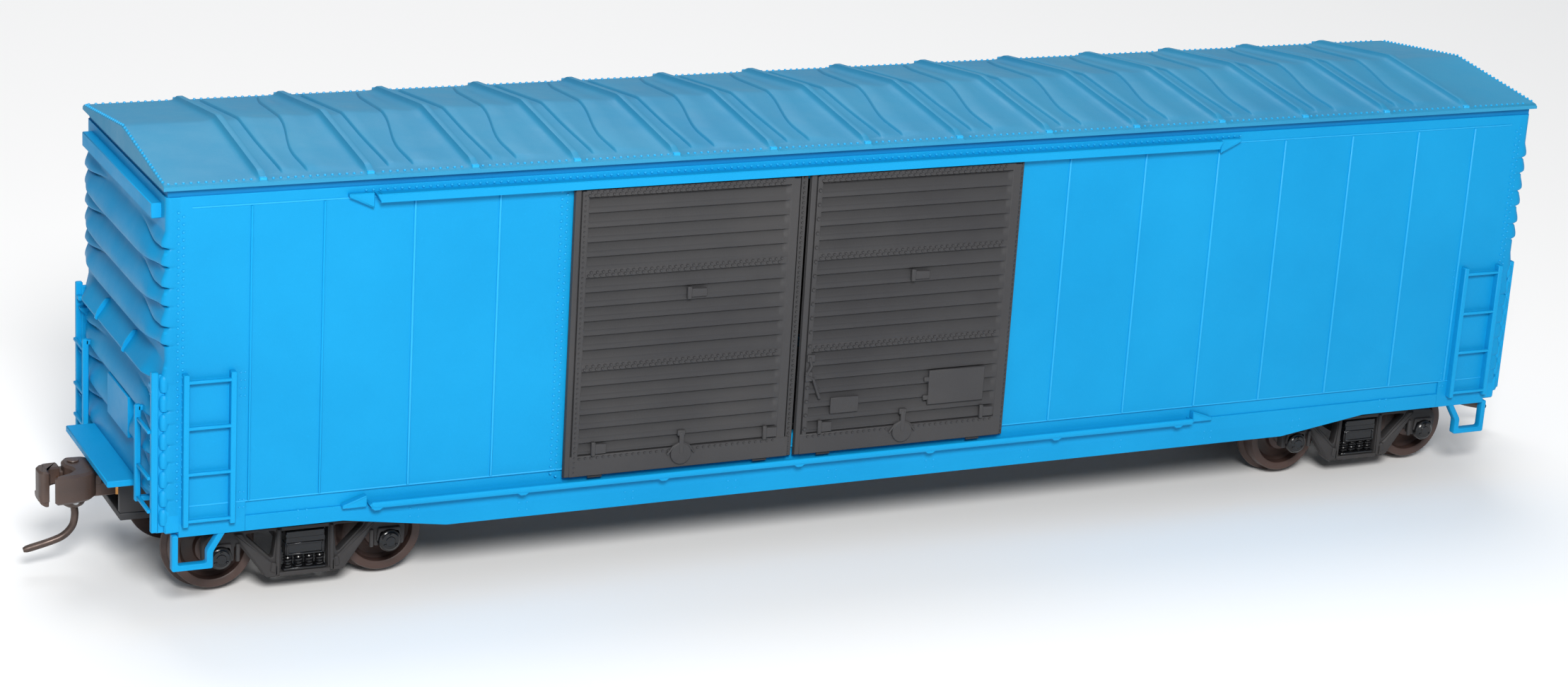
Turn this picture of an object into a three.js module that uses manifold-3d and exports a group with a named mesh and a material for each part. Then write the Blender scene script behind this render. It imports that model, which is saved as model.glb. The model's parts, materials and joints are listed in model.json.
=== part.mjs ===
// HO scale model box car with sliding double doors, corrugated ends, a stepped steel-style roof,
// two roller-bearing trucks and two knuckle couplers. Millimetres, +Z up, X along the car.
// Z = 0 is the lowest point of the wheel flanges. The brake wheel end is at +X.
import * as THREE from 'three';
import { mergeVertices } from 'three/addons/utils/BufferGeometryUtils.js';
import Module from 'manifold-3d';

const wasm = await Module();
wasm.setup();

// ---- driving dimensions ----
const HALF_LENGTH = 88.6;          // end wall, at the bottom of its corrugations
const SHEET_END = 87.7;            // last millimetre of the flat side sheet
const SIDE_Y = 17.0;               // outer face of the side sheets
const WALL = 1.2;
const BODY_TOP = 49.0;
const SILL_END_Z = 10.1;           // side sill, over the trucks
const SILL_MID_Z = 8.3;            // side sill, between the trucks
const SILL_KNEE_X = 68.2;
const SILL_FLAT_X = 56.0;
const END_WALL_Z = 12.65;

const ROOF_HALF_LENGTH = 89.0;
const EAVE_Y = 17.5;
const EAVE_Z = 50.2;
const RIDGE_Z = 52.4;
const ROOF_LIP_Z = 49.45;
const ROOF_RIBS = 14;
const ROOF_RIB_PITCH = 12.02;
const ROOF_RIB_HEIGHT = 0.7;

const DOORWAY = { x0: -40.3, x1: 12.9, z0: 15.3, z1: 46.5 };
const TRACK = { x0: -65.9, x1: 42.2, depth: 1.3 };
const DOOR_BACK = 0.25;            // gap from side sheet to the back of a door
const DOOR_THICK = 0.6;
const DOOR_Z0 = 12.75;
const DOOR_Z1 = 47.4;
const AUX_DOOR = { x0: -42.3, x1: -13.45 };
const MAIN_DOOR = { x0: -13.15, x1: 14.9 };

const TRUCK_X = 71.2;
const WHEELBASE = 19.8;
const AXLE_Z = 5.45;
const FLANGE_R = 5.45;
const TREAD_R = 4.81;
const WHEEL_BACK_Y = 7.2;
const WHEEL_WIDTH = 2.7;
const AXLE_R = 1.2;
const JOURNAL_R = 0.75;
const JOURNAL_HOLE_R = 0.81;
const AXLE_TIP_Y = 12.4;
const FRAME_IN_Y = 11.3;
const FRAME_OUT_Y = 12.8;
const SCREW_R = 1.2;
const SCREW_HOLE_R = 1.28;
const THREAD_R = 0.9;
const THREAD_HOLE_R = 0.95;
const BOLSTER_TOP = 8.3;
const BOLSTER_CENTRE_R = 3.4;
const BOSS_Z = 8.4;
const BOSS_R = 3.6;                // wider than the bolster's centre, so it overhangs it all round
const CENTRE_SILL = { x: 79.3, y: 2.6, z: 8.9 };

const FLOOR_Z0 = 12.6;
const FLOOR_Z1 = 13.8;
const FLOOR_X = 87.1;
const FLOOR_Y = 15.7;

const COUPLER_PIVOT_X = 84.0;
const COUPLER_BOX = { x0: 79.6, x1: 90.2, y: 4.2, z0: 8.5, z1: 12.55 };
const KNUCKLE_PIVOT = { x: 94.2, y: -1.3 };

// ---- materials ----
function material(color, roughness, metalness = 0) {
  return new THREE.MeshStandardMaterial({ color, roughness, metalness });
}
const bodyBlue = () => material(0x2eacf0, 0.45);
const roofBlue = () => material(0x469bcd, 0.5);
const doorGrey = () => material(0x4b4646, 0.6);
const frameGrey = () => material(0x413e3e, 0.7);
const glossBlack = () => material(0x141416, 0.25);
const underBlack = () => material(0x1c1c1e, 0.55);
const wheelBrown = () => material(0x4b3732, 0.5);
const couplerBrown = () => material(0x3c2d28, 0.5);
const steel = () => material(0xb4b6ba, 0.35, 1);
const bronze = () => material(0xa8793f, 0.4, 1);

// ---- solids ----
function solid(geometry) {
  const g = geometry.clone();
  g.deleteAttribute('normal');
  g.deleteAttribute('uv');
  const merged = mergeVertices(g, 1e-5);
  const mesh = new wasm.Mesh({
    numProp: 3,
    vertProperties: new Float32Array(merged.attributes.position.array),
    triVerts: new Uint32Array(merged.index.array),
  });
  return new wasm.Manifold(mesh);
}

function geometryOf(body) {
  const mesh = body.getMesh();
  const geometry = new THREE.BufferGeometry();
  geometry.setAttribute('position', new THREE.BufferAttribute(mesh.vertProperties, 3));
  geometry.setIndex(new THREE.BufferAttribute(mesh.triVerts, 1));
  geometry.computeVertexNormals();
  return geometry;
}

const join = (...bodies) => bodies.flat().reduce((all, one) => all.add(one));
const cut = (body, ...tools) => tools.flat().reduce((left, tool) => left.subtract(tool), body);

function box(x0, x1, y0, y1, z0, z1) {
  const g = new THREE.BoxGeometry(x1 - x0, y1 - y0, z1 - z0);
  g.translate((x0 + x1) / 2, (y0 + y1) / 2, (z0 + z1) / 2);
  return solid(g);
}

// A box mirrored to both sides of the X-Z plane, with y0 and y1 as distances from it.
function boxPair(x0, x1, y0, y1, z0, z1) {
  return [box(x0, x1, y0, y1, z0, z1), box(x0, x1, -y1, -y0, z0, z1)];
}

function cylinderZ(x, y, r, z0, z1, segments = 24, topR = r) {
  const g = new THREE.CylinderGeometry(topR, r, z1 - z0, segments);
  g.rotateX(Math.PI / 2);
  g.translate(x, y, (z0 + z1) / 2);
  return solid(g);
}

function cylinderY(x, z, r, y0, y1, segments = 24, farR = r) {
  const g = new THREE.CylinderGeometry(farR, r, y1 - y0, segments);
  g.rotateY(Math.PI);
  g.translate(x, (y0 + y1) / 2, z);
  return solid(g);
}

function cylinderX(y, z, r, x0, x1, segments = 24) {
  const g = new THREE.CylinderGeometry(r, r, x1 - x0, segments);
  g.rotateZ(Math.PI / 2);
  g.translate((x0 + x1) / 2, y, z);
  return solid(g);
}

function outline(points) {
  return new THREE.Shape(points.map(([a, b]) => new THREE.Vector2(a, b)));
}

// An outline in X-Y, raised from z0 to z1.
function plate(points, z0, z1) {
  const g = new THREE.ExtrudeGeometry(outline(points), { depth: z1 - z0, bevelEnabled: false });
  g.translate(0, 0, z0);
  return solid(g);
}

// An outline in X-Z, spread from y0 to y1.
function sidePlate(points, y0, y1, holes = []) {
  const shape = outline(points);
  shape.holes = holes.map((hole) => outline(hole));
  const g = new THREE.ExtrudeGeometry(shape, { depth: y1 - y0, bevelEnabled: false });
  g.rotateX(Math.PI / 2);
  g.translate(0, y1, 0);
  return solid(g);
}

// An outline in Y-Z, spread from x0 to x1.
function crossPlate(points, x0, x1) {
  const g = new THREE.ExtrudeGeometry(outline(points), { depth: x1 - x0, bevelEnabled: false });
  g.rotateX(Math.PI / 2);
  g.rotateZ(Math.PI / 2);
  g.translate(x0, 0, 0);
  return solid(g);
}

// The same solid turned half a turn about the vertical centre line.
function turned(body) {
  const g = geometryOf(body);
  g.scale(-1, -1, 1);
  return solid(g);
}

const bothSides = (body) => join(body, turned(body));

// ---- scene helpers ----
const car = new THREE.Group();

function add(name, body, mat, parent = car) {
  const mesh = new THREE.Mesh(geometryOf(body), mat);
  mesh.name = name;
  parent.add(mesh);
  return mesh;
}

// ---- body shell ----
function sillOutline() {
  return [
    [-SHEET_END, SILL_END_Z], [-SILL_KNEE_X, SILL_END_Z], [-SILL_FLAT_X, SILL_MID_Z],
    [SILL_FLAT_X, SILL_MID_Z], [SILL_KNEE_X, SILL_END_Z], [SHEET_END, SILL_END_Z],
    [SHEET_END, BODY_TOP], [-SHEET_END, BODY_TOP],
  ];
}

function sideWall() {
  const { x0, x1, z0, z1 } = DOORWAY;
  const doorway = [[x0, z0], [x0, z1], [x1, z1], [x1, z0]];
  return sidePlate(sillOutline(), -SIDE_Y, -SIDE_Y + WALL, [doorway]);
}

function doorTracks() {
  const out = SIDE_Y + TRACK.depth;
  const lipIn = out - 0.2;
  const { x0, x1 } = TRACK;
  const stopLength = 2.6;
  const into = SIDE_Y - 0.3;
  const parts = [
    box(x0, x1, -out, -into, 47.55, 48.2),
    box(x0, x1, -out, -lipIn, 47.25, 47.6),
    box(x0, x1, -out, -into, 11.65, 12.0),
    box(x0, x1, -out, -lipIn, 11.9, 12.4),
  ];
  for (const [x, way] of [[x0, -1], [x1, 1]]) {
    const base = x - way * 0.2;
    const tip = x + way * stopLength;
    parts.push(sidePlate(facing([[base, 46.5], [tip, 47.9], [base, 48.3]], way), -out, -into));
    parts.push(sidePlate(facing([[base, 11.7], [tip, 11.8], [base, 13.1]], way), -out, -into));
  }
  return join(parts);
}

// Keeps a three-point outline anticlockwise when it is mirrored.
function facing(points, way) {
  return way > 0 ? points : [...points].reverse();
}

function weldSeams() {
  const seams = [-79.2, -71.1, -60.8, -50.9, -42.9, 21.5, 32.0, 42.3, 51.8, 61.7, 71.6, 80.2];
  return seams.map((x) => box(x - 0.2, x + 0.2, -SIDE_Y - 0.12, -SIDE_Y + 0.2, 13.7, 46.8));
}

function sideLadder(centreX) {
  const x0 = centreX - 3;
  const x1 = centreX + 3;
  const stile = (x) => box(x, x + 0.8, -SIDE_Y - 0.9, -SIDE_Y + 0.3, 11.5, 29.1);
  const rung = (z) => box(x0 + 0.4, x1 - 0.4, -SIDE_Y - 0.9, -SIDE_Y - 0.35, z - 0.25, z + 0.25);
  return join(stile(x0), stile(x1 - 0.8), [28.2, 22.9, 17.6, 12.15].map(rung));
}

function stirrupStep(way) {
  const band = [
    [87.7, 10.3], [87.0, 10.3], [87.0, 6.7], [83.75, 6.7], [83.75, 8.1], [82.4, 10.3],
    [81.6, 10.3], [83.05, 7.9], [83.05, 6.0], [87.7, 6.0],
  ];
  const points = band.map(([x, z]) => [way * x, z]);
  return sidePlate(facing(points, way), -SIDE_Y + 0.1, -SIDE_Y + 1.1);
}

// One raised corrugation on the end wall: a bar with a chamfered crest and tapered ends.
function endRib(y0, y1, z, halfHeight, rise) {
  const root = HALF_LENGTH - 0.3;
  const crest = HALF_LENGTH + rise;
  const taper = Math.min(5, (y1 - y0) / 3);
  const bar = sidePlate([
    [root, z - halfHeight], [crest, z - halfHeight * 0.4],
    [crest, z + halfHeight * 0.4], [root, z + halfHeight],
  ], y0, y1);
  const ends = plate([[root, y0], [crest, y0 + taper], [crest, y1 - taper], [root, y1]],
    z - halfHeight, z + halfHeight);
  return bar.intersect(ends);
}

// The +X end has a ladder at its +Y corner only, and the -X end has one at both corners.
function endLadder(side) {
  const edge = (a, b) => (side > 0 ? [a, b] : [-b, -a]);
  const face = HALF_LENGTH - 0.4;
  const [o0, o1] = edge(16.2, 17.0);
  const [i0, i1] = edge(11.3, 12.0);
  const [r0, r1] = edge(11.6, 16.6);
  const rung = (z) => box(90.0, 90.6, r0, r1, z - 0.27, z + 0.27);
  return join(
    box(face, 90.1, o0, o1, 10.6, 29.4),
    box(face, 90.6, i0, i1, 12.7, 24.0),
    [22.5, 17.15, 13.2].map(rung),
  );
}

function endWall() {
  const ribs = [42.3, 37.9, 33.5, 24.9, 20.5, 16.1];
  const darts = [44.6, 40.1, 35.7];
  const wall = box(SHEET_END - 0.5, HALF_LENGTH, -SIDE_Y, SIDE_Y, END_WALL_Z, BODY_TOP);
  const corners = boxPair(SHEET_END - 0.5, HALF_LENGTH, SIDE_Y - 1.2, SIDE_Y, 10.6, 13.0);
  const topBar = box(HALF_LENGTH - 0.2, 89.7, -15, 15, 46.1, 47.8);
  const ledge = sidePlate([[HALF_LENGTH - 0.3, 26.9], [90.1, 28.0], [90.1, 28.6],
    [HALF_LENGTH - 0.3, 31.2]], -16.1, 16.1);
  const tackBoard = box(HALF_LENGTH - 0.2, 89.6, -3, 6, 18.1, 22.9);
  return join(
    wall, corners, topBar, ledge, tackBoard,
    ribs.map((z) => endRib(-16.4, 16.4, z, 1.3, 0.8)),
    darts.map((z) => endRib(-16.4, -6, z, 0.6, 0.4)),
    darts.map((z) => endRib(6, 16.4, z, 0.6, 0.4)),
  );
}

function bodyShell() {
  const half = join(
    sideWall(), doorTracks(), weldSeams(),
    sideLadder(-83.8), sideLadder(83.8), stirrupStep(1), stirrupStep(-1), endWall(),
  );
  const cornerLadder = endLadder(1);
  return join(bothSides(half), bothSides(cornerLadder), turned(endLadder(-1)));
}

// ---- roof ----
function roof() {
  const slope = [
    [-EAVE_Y, ROOF_LIP_Z], [-15.6, ROOF_LIP_Z - 0.35], [15.6, ROOF_LIP_Z - 0.35],
    [EAVE_Y, ROOF_LIP_Z], [EAVE_Y, EAVE_Z], [0, RIDGE_Z], [-EAVE_Y, EAVE_Z],
  ];
  const hollow = [[-14.4, 49.0], [14.4, 49.0], [14.4, 49.5], [0, 51.3], [-14.4, 49.5]];
  const panel = crossPlate(slope, -ROOF_HALF_LENGTH, ROOF_HALF_LENGTH);
  const inside = crossPlate(hollow, -86.0, 86.0);
  const ribLine = [
    [-EAVE_Y, EAVE_Z - 0.3], [0, RIDGE_Z - 0.3], [EAVE_Y, EAVE_Z - 0.3],
    [EAVE_Y, EAVE_Z + 0.3], [15.5, EAVE_Z + 0.25 + ROOF_RIB_HEIGHT],
    [0, RIDGE_Z + ROOF_RIB_HEIGHT], [-15.5, EAVE_Z + 0.25 + ROOF_RIB_HEIGHT],
    [-EAVE_Y, EAVE_Z + 0.3],
  ];
  const firstRib = (-ROOF_RIB_PITCH * (ROOF_RIBS - 1)) / 2;
  const ribs = [];
  for (let i = 0; i < ROOF_RIBS; i += 1) {
    const x = firstRib + i * ROOF_RIB_PITCH;
    ribs.push(crossPlate(ribLine, x - 0.65, x + 0.65));
  }
  return cut(join(panel, ribs), inside);
}

// ---- underframe ----
// A beam across the car under the floor, shallower towards its tips.
function crossBeam(x, halfWidth, root, tip) {
  const top = FLOOR_Z0 + 0.4;
  return crossPlate(
    [[-14.8, tip], [-4, root], [4, root], [14.8, tip], [14.8, top], [-14.8, top]],
    x - halfWidth, x + halfWidth,
  );
}

function underframe() {
  const beams = [];
  const holes = [];
  for (const way of [-1, 1]) {
    const truckX = way * TRUCK_X;
    beams.push(crossBeam(truckX, 2.5, 9.05, 11.0), cylinderZ(truckX, 0, BOSS_R, BOSS_Z, 9.5, 20));
    beams.push(crossBeam(way * 16, 0.8, 9.4, 11.4), crossBeam(way * 42, 0.8, 9.4, 11.4));
    holes.push(cylinderZ(truckX, 0, THREAD_HOLE_R, BOSS_Z - 1, 12.9, 12));
    holes.push(cylinderZ(way * COUPLER_PIVOT_X, 0, 0.75, FLOOR_Z0 - 1, 13.4, 12));
  }
  return cut(join(
    box(-FLOOR_X, FLOOR_X, -FLOOR_Y, FLOOR_Y, FLOOR_Z0, FLOOR_Z1),
    box(-CENTRE_SILL.x, CENTRE_SILL.x, -CENTRE_SILL.y, CENTRE_SILL.y, CENTRE_SILL.z, FLOOR_Z0 + 0.2),
    boxPair(-86.5, 86.5, 8.6, 9.4, 11.7, FLOOR_Z0 + 0.3),
    beams,
  ), holes);
}

const floorWeight = () => box(-64, 64, -13, 13, FLOOR_Z1 + 0.05, FLOOR_Z1 + 1.25);

// ---- brake gear under the floor ----
const brakeCylinder = () => join(
  cylinderX(-6.0, 10.0, 1.5, 20, 26, 20),
  cylinderX(-6.0, 10.0, 1.8, 19.4, 20.2, 20),
  cylinderX(-6.0, 10.0, 0.7, 25.8, 27.4, 12),
  box(21, 25, -6.8, -5.2, 10.8, FLOOR_Z0 - 0.05),
);
const airReservoir = () => join(
  cylinderX(6.2, 9.8, 1.9, 20, 32, 14),
  cylinderX(6.2, 9.8, 1.3, 19.4, 32.6, 14),
  box(22, 23.2, 5.4, 7.0, 10.8, FLOOR_Z0 - 0.05),
  box(28.8, 30, 5.4, 7.0, 10.8, FLOOR_Z0 - 0.05),
);
const controlValve = () => join(
  box(-28, -24.6, 4.6, 8.0, 9.4, FLOOR_Z0 - 0.05),
  box(-29.2, -27.8, 5.4, 7.2, 9.9, 11.6),
  cylinderZ(-26.3, 6.3, 1.1, 8.7, 9.5, 16),
);
const brakeLever = () => join(
  box(28.2, 29.2, -11.6, -3.2, 9.5, 10.1),
  box(28.3, 29.1, -6.4, -5.6, 9.6, FLOOR_Z0 - 0.05),
);
const brakeRod = () => join(
  cylinderX(-11.1, 10.6, 0.35, 28.3, 40.0, 8),
  box(28.3, 29.1, -11.5, -10.7, 10.15, 10.6),
  box(39.2, 40.2, -11.6, -10.6, 10.2, FLOOR_Z0 - 0.05),
);

// ---- doors, drawn in place on the -Y side ----
function door(x0, x1) {
  const back = -SIDE_Y - DOOR_BACK;
  const front = back - DOOR_THICK;
  const inset = 1.4;
  const ribs = [];
  for (let panel = 0; panel < 3; panel += 1) {
    const z0 = 15.6 + panel * 10.95;
    for (let i = 0; i < 5; i += 1) {
      const z = z0 + 1.4 + i * 1.75;
      ribs.push(box(x0 + inset, x1 - inset, front - 0.15, front + 0.1, z - 0.35, z + 0.35));
    }
  }
  const post = (x) => box(x - 0.5, x + 0.5, front - 0.2, front + 0.1, 13.4, 46.6);
  const foot = (x) => box(x - 1.2, x + 1.2, front + 0.05, back - 0.05, 12.06, DOOR_Z0 + 0.3);
  const latchX = (x0 + x1) / 2;
  return join(
    box(x0, x1, front, back, DOOR_Z0, DOOR_Z1),
    ribs, post(x0 + 0.7), post(x1 - 0.7),
    foot(x0 + 4), foot(x1 - 4),
    box(x0 + 0.6, x1 - 0.6, front - 0.2, front + 0.1, 13.4, 15.1),
    box(latchX - 1.0, latchX + 1.0, front - 0.45, front + 0.1, 14.6, 16.6),
    box(latchX - 0.8, latchX + 0.8, front - 0.4, front + 0.1, 33.6, 34.6),
  );
}

// ---- trucks, drawn about their own centre ----
function sideFrame() {
  const outer = [
    [-3.9, 2.3], [3.9, 2.3], [4.7, 2.6], [6.5, 5.3], [7.6, 6.6], [8.1, 6.6], [8.1, 4.7],
    [8.8, 4.7], [8.8, 6.0], [11.0, 6.0], [11.0, 4.7], [11.8, 4.7], [11.9, 7.2], [11.2, 8.0],
    [9.0, 8.2], [-9.0, 8.2], [-11.2, 8.0], [-11.9, 7.2], [-11.8, 4.7], [-11.0, 4.7],
    [-11.0, 6.0], [-8.8, 6.0], [-8.8, 4.7], [-8.1, 4.7], [-8.1, 6.6], [-7.6, 6.6],
    [-6.5, 5.3], [-4.7, 2.6],
  ];
  const lighten = (s) => facing([[s * 3.9, 5.4], [s * 6.5, 7.4], [s * 3.5, 7.4]], s);
  const window = [[-2.7, 2.9], [2.7, 2.9], [2.7, 7.5], [-2.7, 7.5]];
  const frame = sidePlate(outer, FRAME_IN_Y, FRAME_OUT_Y, [lighten(1), lighten(-1), window]);
  const half = WHEELBASE / 2;
  const caps = [-half, half].map((x) => cylinderY(x, AXLE_Z, 1.45, FRAME_IN_Y, 13.5, 14));
  const holes = [-half, half].map(
    (x) => cylinderY(x, AXLE_Z, JOURNAL_HOLE_R, FRAME_IN_Y - 1, AXLE_TIP_Y + 0.15, 12),
  );
  return cut(join(frame, caps), holes);
}

function truckBolster() {
  const beam = sidePlate(
    [[-2.3, 5.3], [2.3, 5.3], [2.3, 7.0], [1.9, 7.3], [-1.9, 7.3], [-2.3, 7.0]],
    -12.7, 12.7,
  );
  const centre = cylinderZ(0, 0, BOLSTER_CENTRE_R, 5.3, BOLSTER_TOP, 20);
  const springSeat = (side) => {
    const [y0, y1] = side > 0 ? [FRAME_IN_Y, 12.7] : [-12.7, -FRAME_IN_Y];
    const y = (y0 + y1) / 2;
    const springs = [-1.6, 0, 1.6].map((x) => cylinderZ(x, y, 0.68, 3.2, 5.5, 8));
    return join(box(-2.4, 2.4, y0, y1, 2.95, 3.3), springs);
  };
  return cut(
    join(beam, centre, springSeat(1), springSeat(-1)),
    cylinderZ(0, 0, SCREW_HOLE_R, 4, 10, 20),
  );
}

function truckScrew() {
  return join(
    cylinderZ(0, 0, 2.1, 4.0, 5.15, 16),
    cylinderZ(0, 0, SCREW_R, 5.0, BOSS_Z - 0.03, 16),
    cylinderZ(0, 0, THREAD_R, BOSS_Z - 0.3, 12.6, 12),
  ).subtract(box(-1.8, 1.8, -0.25, 0.25, 3.9, 4.5));
}

// Wheel revolved about Y: bore, flange, tread, rim, web and hub. y = 0 is the back face.
function wheel() {
  const bore = AXLE_R + 0.02;
  const profile = [
    [bore, 0], [FLANGE_R - 0.3, 0], [FLANGE_R, 0.35], [TREAD_R + 0.05, 0.8],
    [TREAD_R - 0.05, WHEEL_WIDTH], [3.9, WHEEL_WIDTH], [3.7, 1.4], [2.1, 1.4], [2.0, 2.4],
    [bore, 2.4], [bore, 0],
  ];
  const g = new THREE.LatheGeometry(profile.map(([r, y]) => new THREE.Vector2(r, y)), 20);
  return solid(g);
}

function axle() {
  const tip = AXLE_TIP_Y;
  const profile = [
    [0, -tip], [0.25, -tip + 0.1], [JOURNAL_R, -tip + 1.0], [JOURNAL_R, -10.6], [AXLE_R, -10.1],
    [AXLE_R, 10.1], [JOURNAL_R, 10.6], [JOURNAL_R, tip - 1.0], [0.25, tip - 0.1], [0, tip],
  ];
  return solid(new THREE.LatheGeometry(profile.map(([r, y]) => new THREE.Vector2(r, y)), 12));
}

function addTruck(end, way) {
  const group = new THREE.Group();
  group.position.set(way * TRUCK_X, 0, 0);
  group.rotation.z = way > 0 ? 0 : Math.PI;
  car.add(group);
  add(`truck_bolster_${end}`, truckBolster(), glossBlack(), group);
  add(`truck_screw_${end}`, truckScrew(), steel(), group);
  const frame = sideFrame();
  add(`sideframe_${end}_left`, frame, frameGrey(), group);
  add(`sideframe_${end}_right`, turned(frame), frameGrey(), group);
  for (const [place, x] of [['inner', -WHEELBASE / 2], ['outer', WHEELBASE / 2]]) {
    const set = new THREE.Group();
    set.position.set(x, 0, AXLE_Z);
    group.add(set);
    add(`axle_${end}_${place}`, axle(), steel(), set);
    const left = add(`wheel_${end}_${place}_left`, wheel(), wheelBrown(), set);
    left.position.y = WHEEL_BACK_Y;
    const right = add(`wheel_${end}_${place}_right`, wheel(), wheelBrown(), set);
    right.rotation.z = Math.PI;
    right.position.y = -WHEEL_BACK_Y;
  }
}

// ---- couplers, drawn at the +X end ----
function couplerBox() {
  const { x0, x1, y, z0, z1 } = COUPLER_BOX;
  const shell = cut(
    box(x0, x1, -y, y, z0, z1),
    box(x0 + 0.9, x1 + 1, -y + 0.9, y - 0.9, z0 - 1, z1 - 1.0),
  );
  const post = cylinderZ(COUPLER_PIVOT_X, 0, 1.2, z0 + 0.1, z1 - 0.9, 16);
  return cut(join(shell, post), cylinderZ(COUPLER_PIVOT_X, 0, 0.75, z0 - 1, z1 + 1, 16));
}

function couplerLid() {
  const { x0, x1, y, z0 } = COUPLER_BOX;
  return cut(
    box(x0, x1, -y, y, 7.6, z0 - 0.05),
    cylinderZ(COUPLER_PIVOT_X, 0, 0.8, 7, z0 + 1, 16),
  );
}

const couplerScrew = () => join(
  cylinderZ(COUPLER_PIVOT_X, 0, 1.3, 6.9, 7.55, 18),
  cylinderZ(COUPLER_PIVOT_X, 0, 0.68, 7.4, 13.2, 16),
).subtract(box(COUPLER_PIVOT_X - 1.1, COUPLER_PIVOT_X + 1.1, -0.2, 0.2, 6.8, 7.2));

// A flat spring bent to a U: it hugs the shank from both sides and lies round its ring.
function centringSpring() {
  const arm = (s) => facing([
    [81.2, s * 2.7], [82.0, s * 3.1], [84.6, s * 3.1], [90.0, s * 1.35], [89.9, s * 1.25],
    [84.5, s * 2.98], [82.05, s * 2.98], [81.3, s * 2.62],
  ], -s);
  const back = [[81.2, -2.72], [81.32, -2.72], [81.32, 2.72], [81.2, 2.72]];
  return join(plate(arm(1), 9.7, 11.0), plate(arm(-1), 9.7, 11.0), plate(back, 9.7, 11.0));
}

function couplerBody() {
  const shank = join(
    cylinderZ(COUPLER_PIVOT_X, 0, 2.1, 9.6, 11.2, 20),
    box(COUPLER_PIVOT_X + 1, 92.8, -1.1, 1.1, 9.6, 11.2),
  );
  const head = plate([
    [90.9, -1.1], [92.1, -1.3], [92.5, -2.6], [93.2, -2.9], [95.0, -2.8], [95.5, -2.1],
    [95.5, -0.3], [94.7, 0.4], [94.5, 1.2], [95.3, 2.2], [97.3, 3.0], [97.2, 3.6],
    [95.2, 3.5], [93.4, 2.8], [92.5, 1.6], [90.9, 1.1],
  ], 9.8, 13.2);
  const { x, y } = KNUCKLE_PIVOT;
  return cut(
    join(shank, head),
    cylinderZ(COUPLER_PIVOT_X, 0, 1.27, 9, 12, 20),
    box(92.85, 96.5, -3.2, 0.3, 10.6, 12.4),
    cylinderZ(x, y, 0.56, 9, 14, 16),
  );
}

function knuckle() {
  const { x, y } = KNUCKLE_PIVOT;
  const hub = cylinderZ(x, y, 1.2, 10.7, 12.3, 20);
  const arm = plate([
    [94.0, -2.4], [95.8, -2.7], [97.4, -2.4], [98.4, -1.7], [98.4, 0.7], [97.35, 0.9],
    [97.2, -0.5], [96.3, -1.0], [95.0, -0.6],
  ], 10.7, 12.3);
  const face = plate([
    [97.35, -1.7], [98.0, -1.7], [98.5, -1.2], [98.5, 0.6], [98.2, 1.0], [97.35, 1.0],
  ], 8.7, 13.0);
  return cut(join(hub, arm, face), cylinderZ(x, y, 0.52, 9, 14, 16));
}

// Pivot pin, round boss and the curved wire that hangs like an air hose.
function tripPin() {
  const { x, y } = KNUCKLE_PIVOT;
  const path = new THREE.CatmullRomCurve3([
    [x, 8.4], [94.15, 6.9], [94.7, 5.3], [96.1, 4.25], [98.0, 3.75], [99.9, 3.4],
  ].map(([px, pz]) => new THREE.Vector3(px, y, pz)));
  const ring = new THREE.Shape();
  ring.absarc(0, 0, 0.42, 0, Math.PI * 2);
  const wire = new THREE.ExtrudeGeometry(ring, {
    steps: 10, curveSegments: 3, extrudePath: path, bevelEnabled: false,
  });
  return join(
    solid(wire),
    cylinderZ(x, y, 1.1, 7.9, 8.4, 12, 1.5),
    cylinderZ(x, y, 1.5, 8.35, 9.6, 12),
    cylinderZ(x, y, 0.5, 9.5, 13.45, 12),
  );
}

// Coil spring between the head and the knuckle, as the sleeve that its turns fill.
function knuckleSpring() {
  return cut(
    cylinderX(-0.3, 11.5, 0.42, 95.25, 96.2, 12),
    cylinderX(-0.3, 11.5, 0.22, 95, 97, 12),
  );
}

function endPlatform() {
  const deck = box(HALF_LENGTH + 0.05, 93.0, -9.5, 9.5, 13.75, 14.5);
  const lug = (y) => box(90.0, 90.4, y - 0.4, y + 0.4, 14.4, 15.0);
  return join(deck, lug(-5.2), lug(4.2));
}

function addEnd(end, way) {
  const group = new THREE.Group();
  group.rotation.z = way > 0 ? 0 : Math.PI;
  car.add(group);
  add(`end_platform_${end}`, endPlatform(), bodyBlue(), group);
  add(`coupler_box_${end}`, couplerBox(), frameGrey(), group);
  add(`coupler_lid_${end}`, couplerLid(), frameGrey(), group);
  add(`coupler_screw_${end}`, couplerScrew(), steel(), group);
  add(`centring_spring_${end}`, centringSpring(), bronze(), group);
  add(`coupler_body_${end}`, couplerBody(), couplerBrown(), group);
  add(`knuckle_${end}`, knuckle(), couplerBrown(), group);
  add(`trip_pin_${end}`, tripPin(), couplerBrown(), group);
  add(`knuckle_spring_${end}`, knuckleSpring(), bronze(), group);
}

// ---- brake wheel at the +X end ----
const BRAKE = { y: -6.5, z: 36.0, r: 3.2 };

function brakeHousing() {
  const { y, z } = BRAKE;
  return join(
    box(89.95, 90.9, y - 1.7, y + 1.7, z - 3.2, z + 1.6),
    cylinderX(y, z, 1.2, 90.7, 91.3, 16),
  );
}

function brakeWheel() {
  const { y, z, r } = BRAKE;
  const rim = cut(cylinderX(y, z, r, 91.5, 92.0, 20), cylinderX(y, z, r - 0.5, 91, 93, 20));
  const hub = cylinderX(y, z, 0.8, 91.35, 92.1, 14);
  const spoke = (angle) => {
    const g = new THREE.BoxGeometry(0.35, r * 2 - 0.4, 0.5);
    g.rotateX(angle);
    g.translate(91.75, y, z);
    return solid(g);
  };
  return join(rim, hub, [0, 1, 2].map((i) => spoke((i * Math.PI) / 3)));
}

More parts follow.
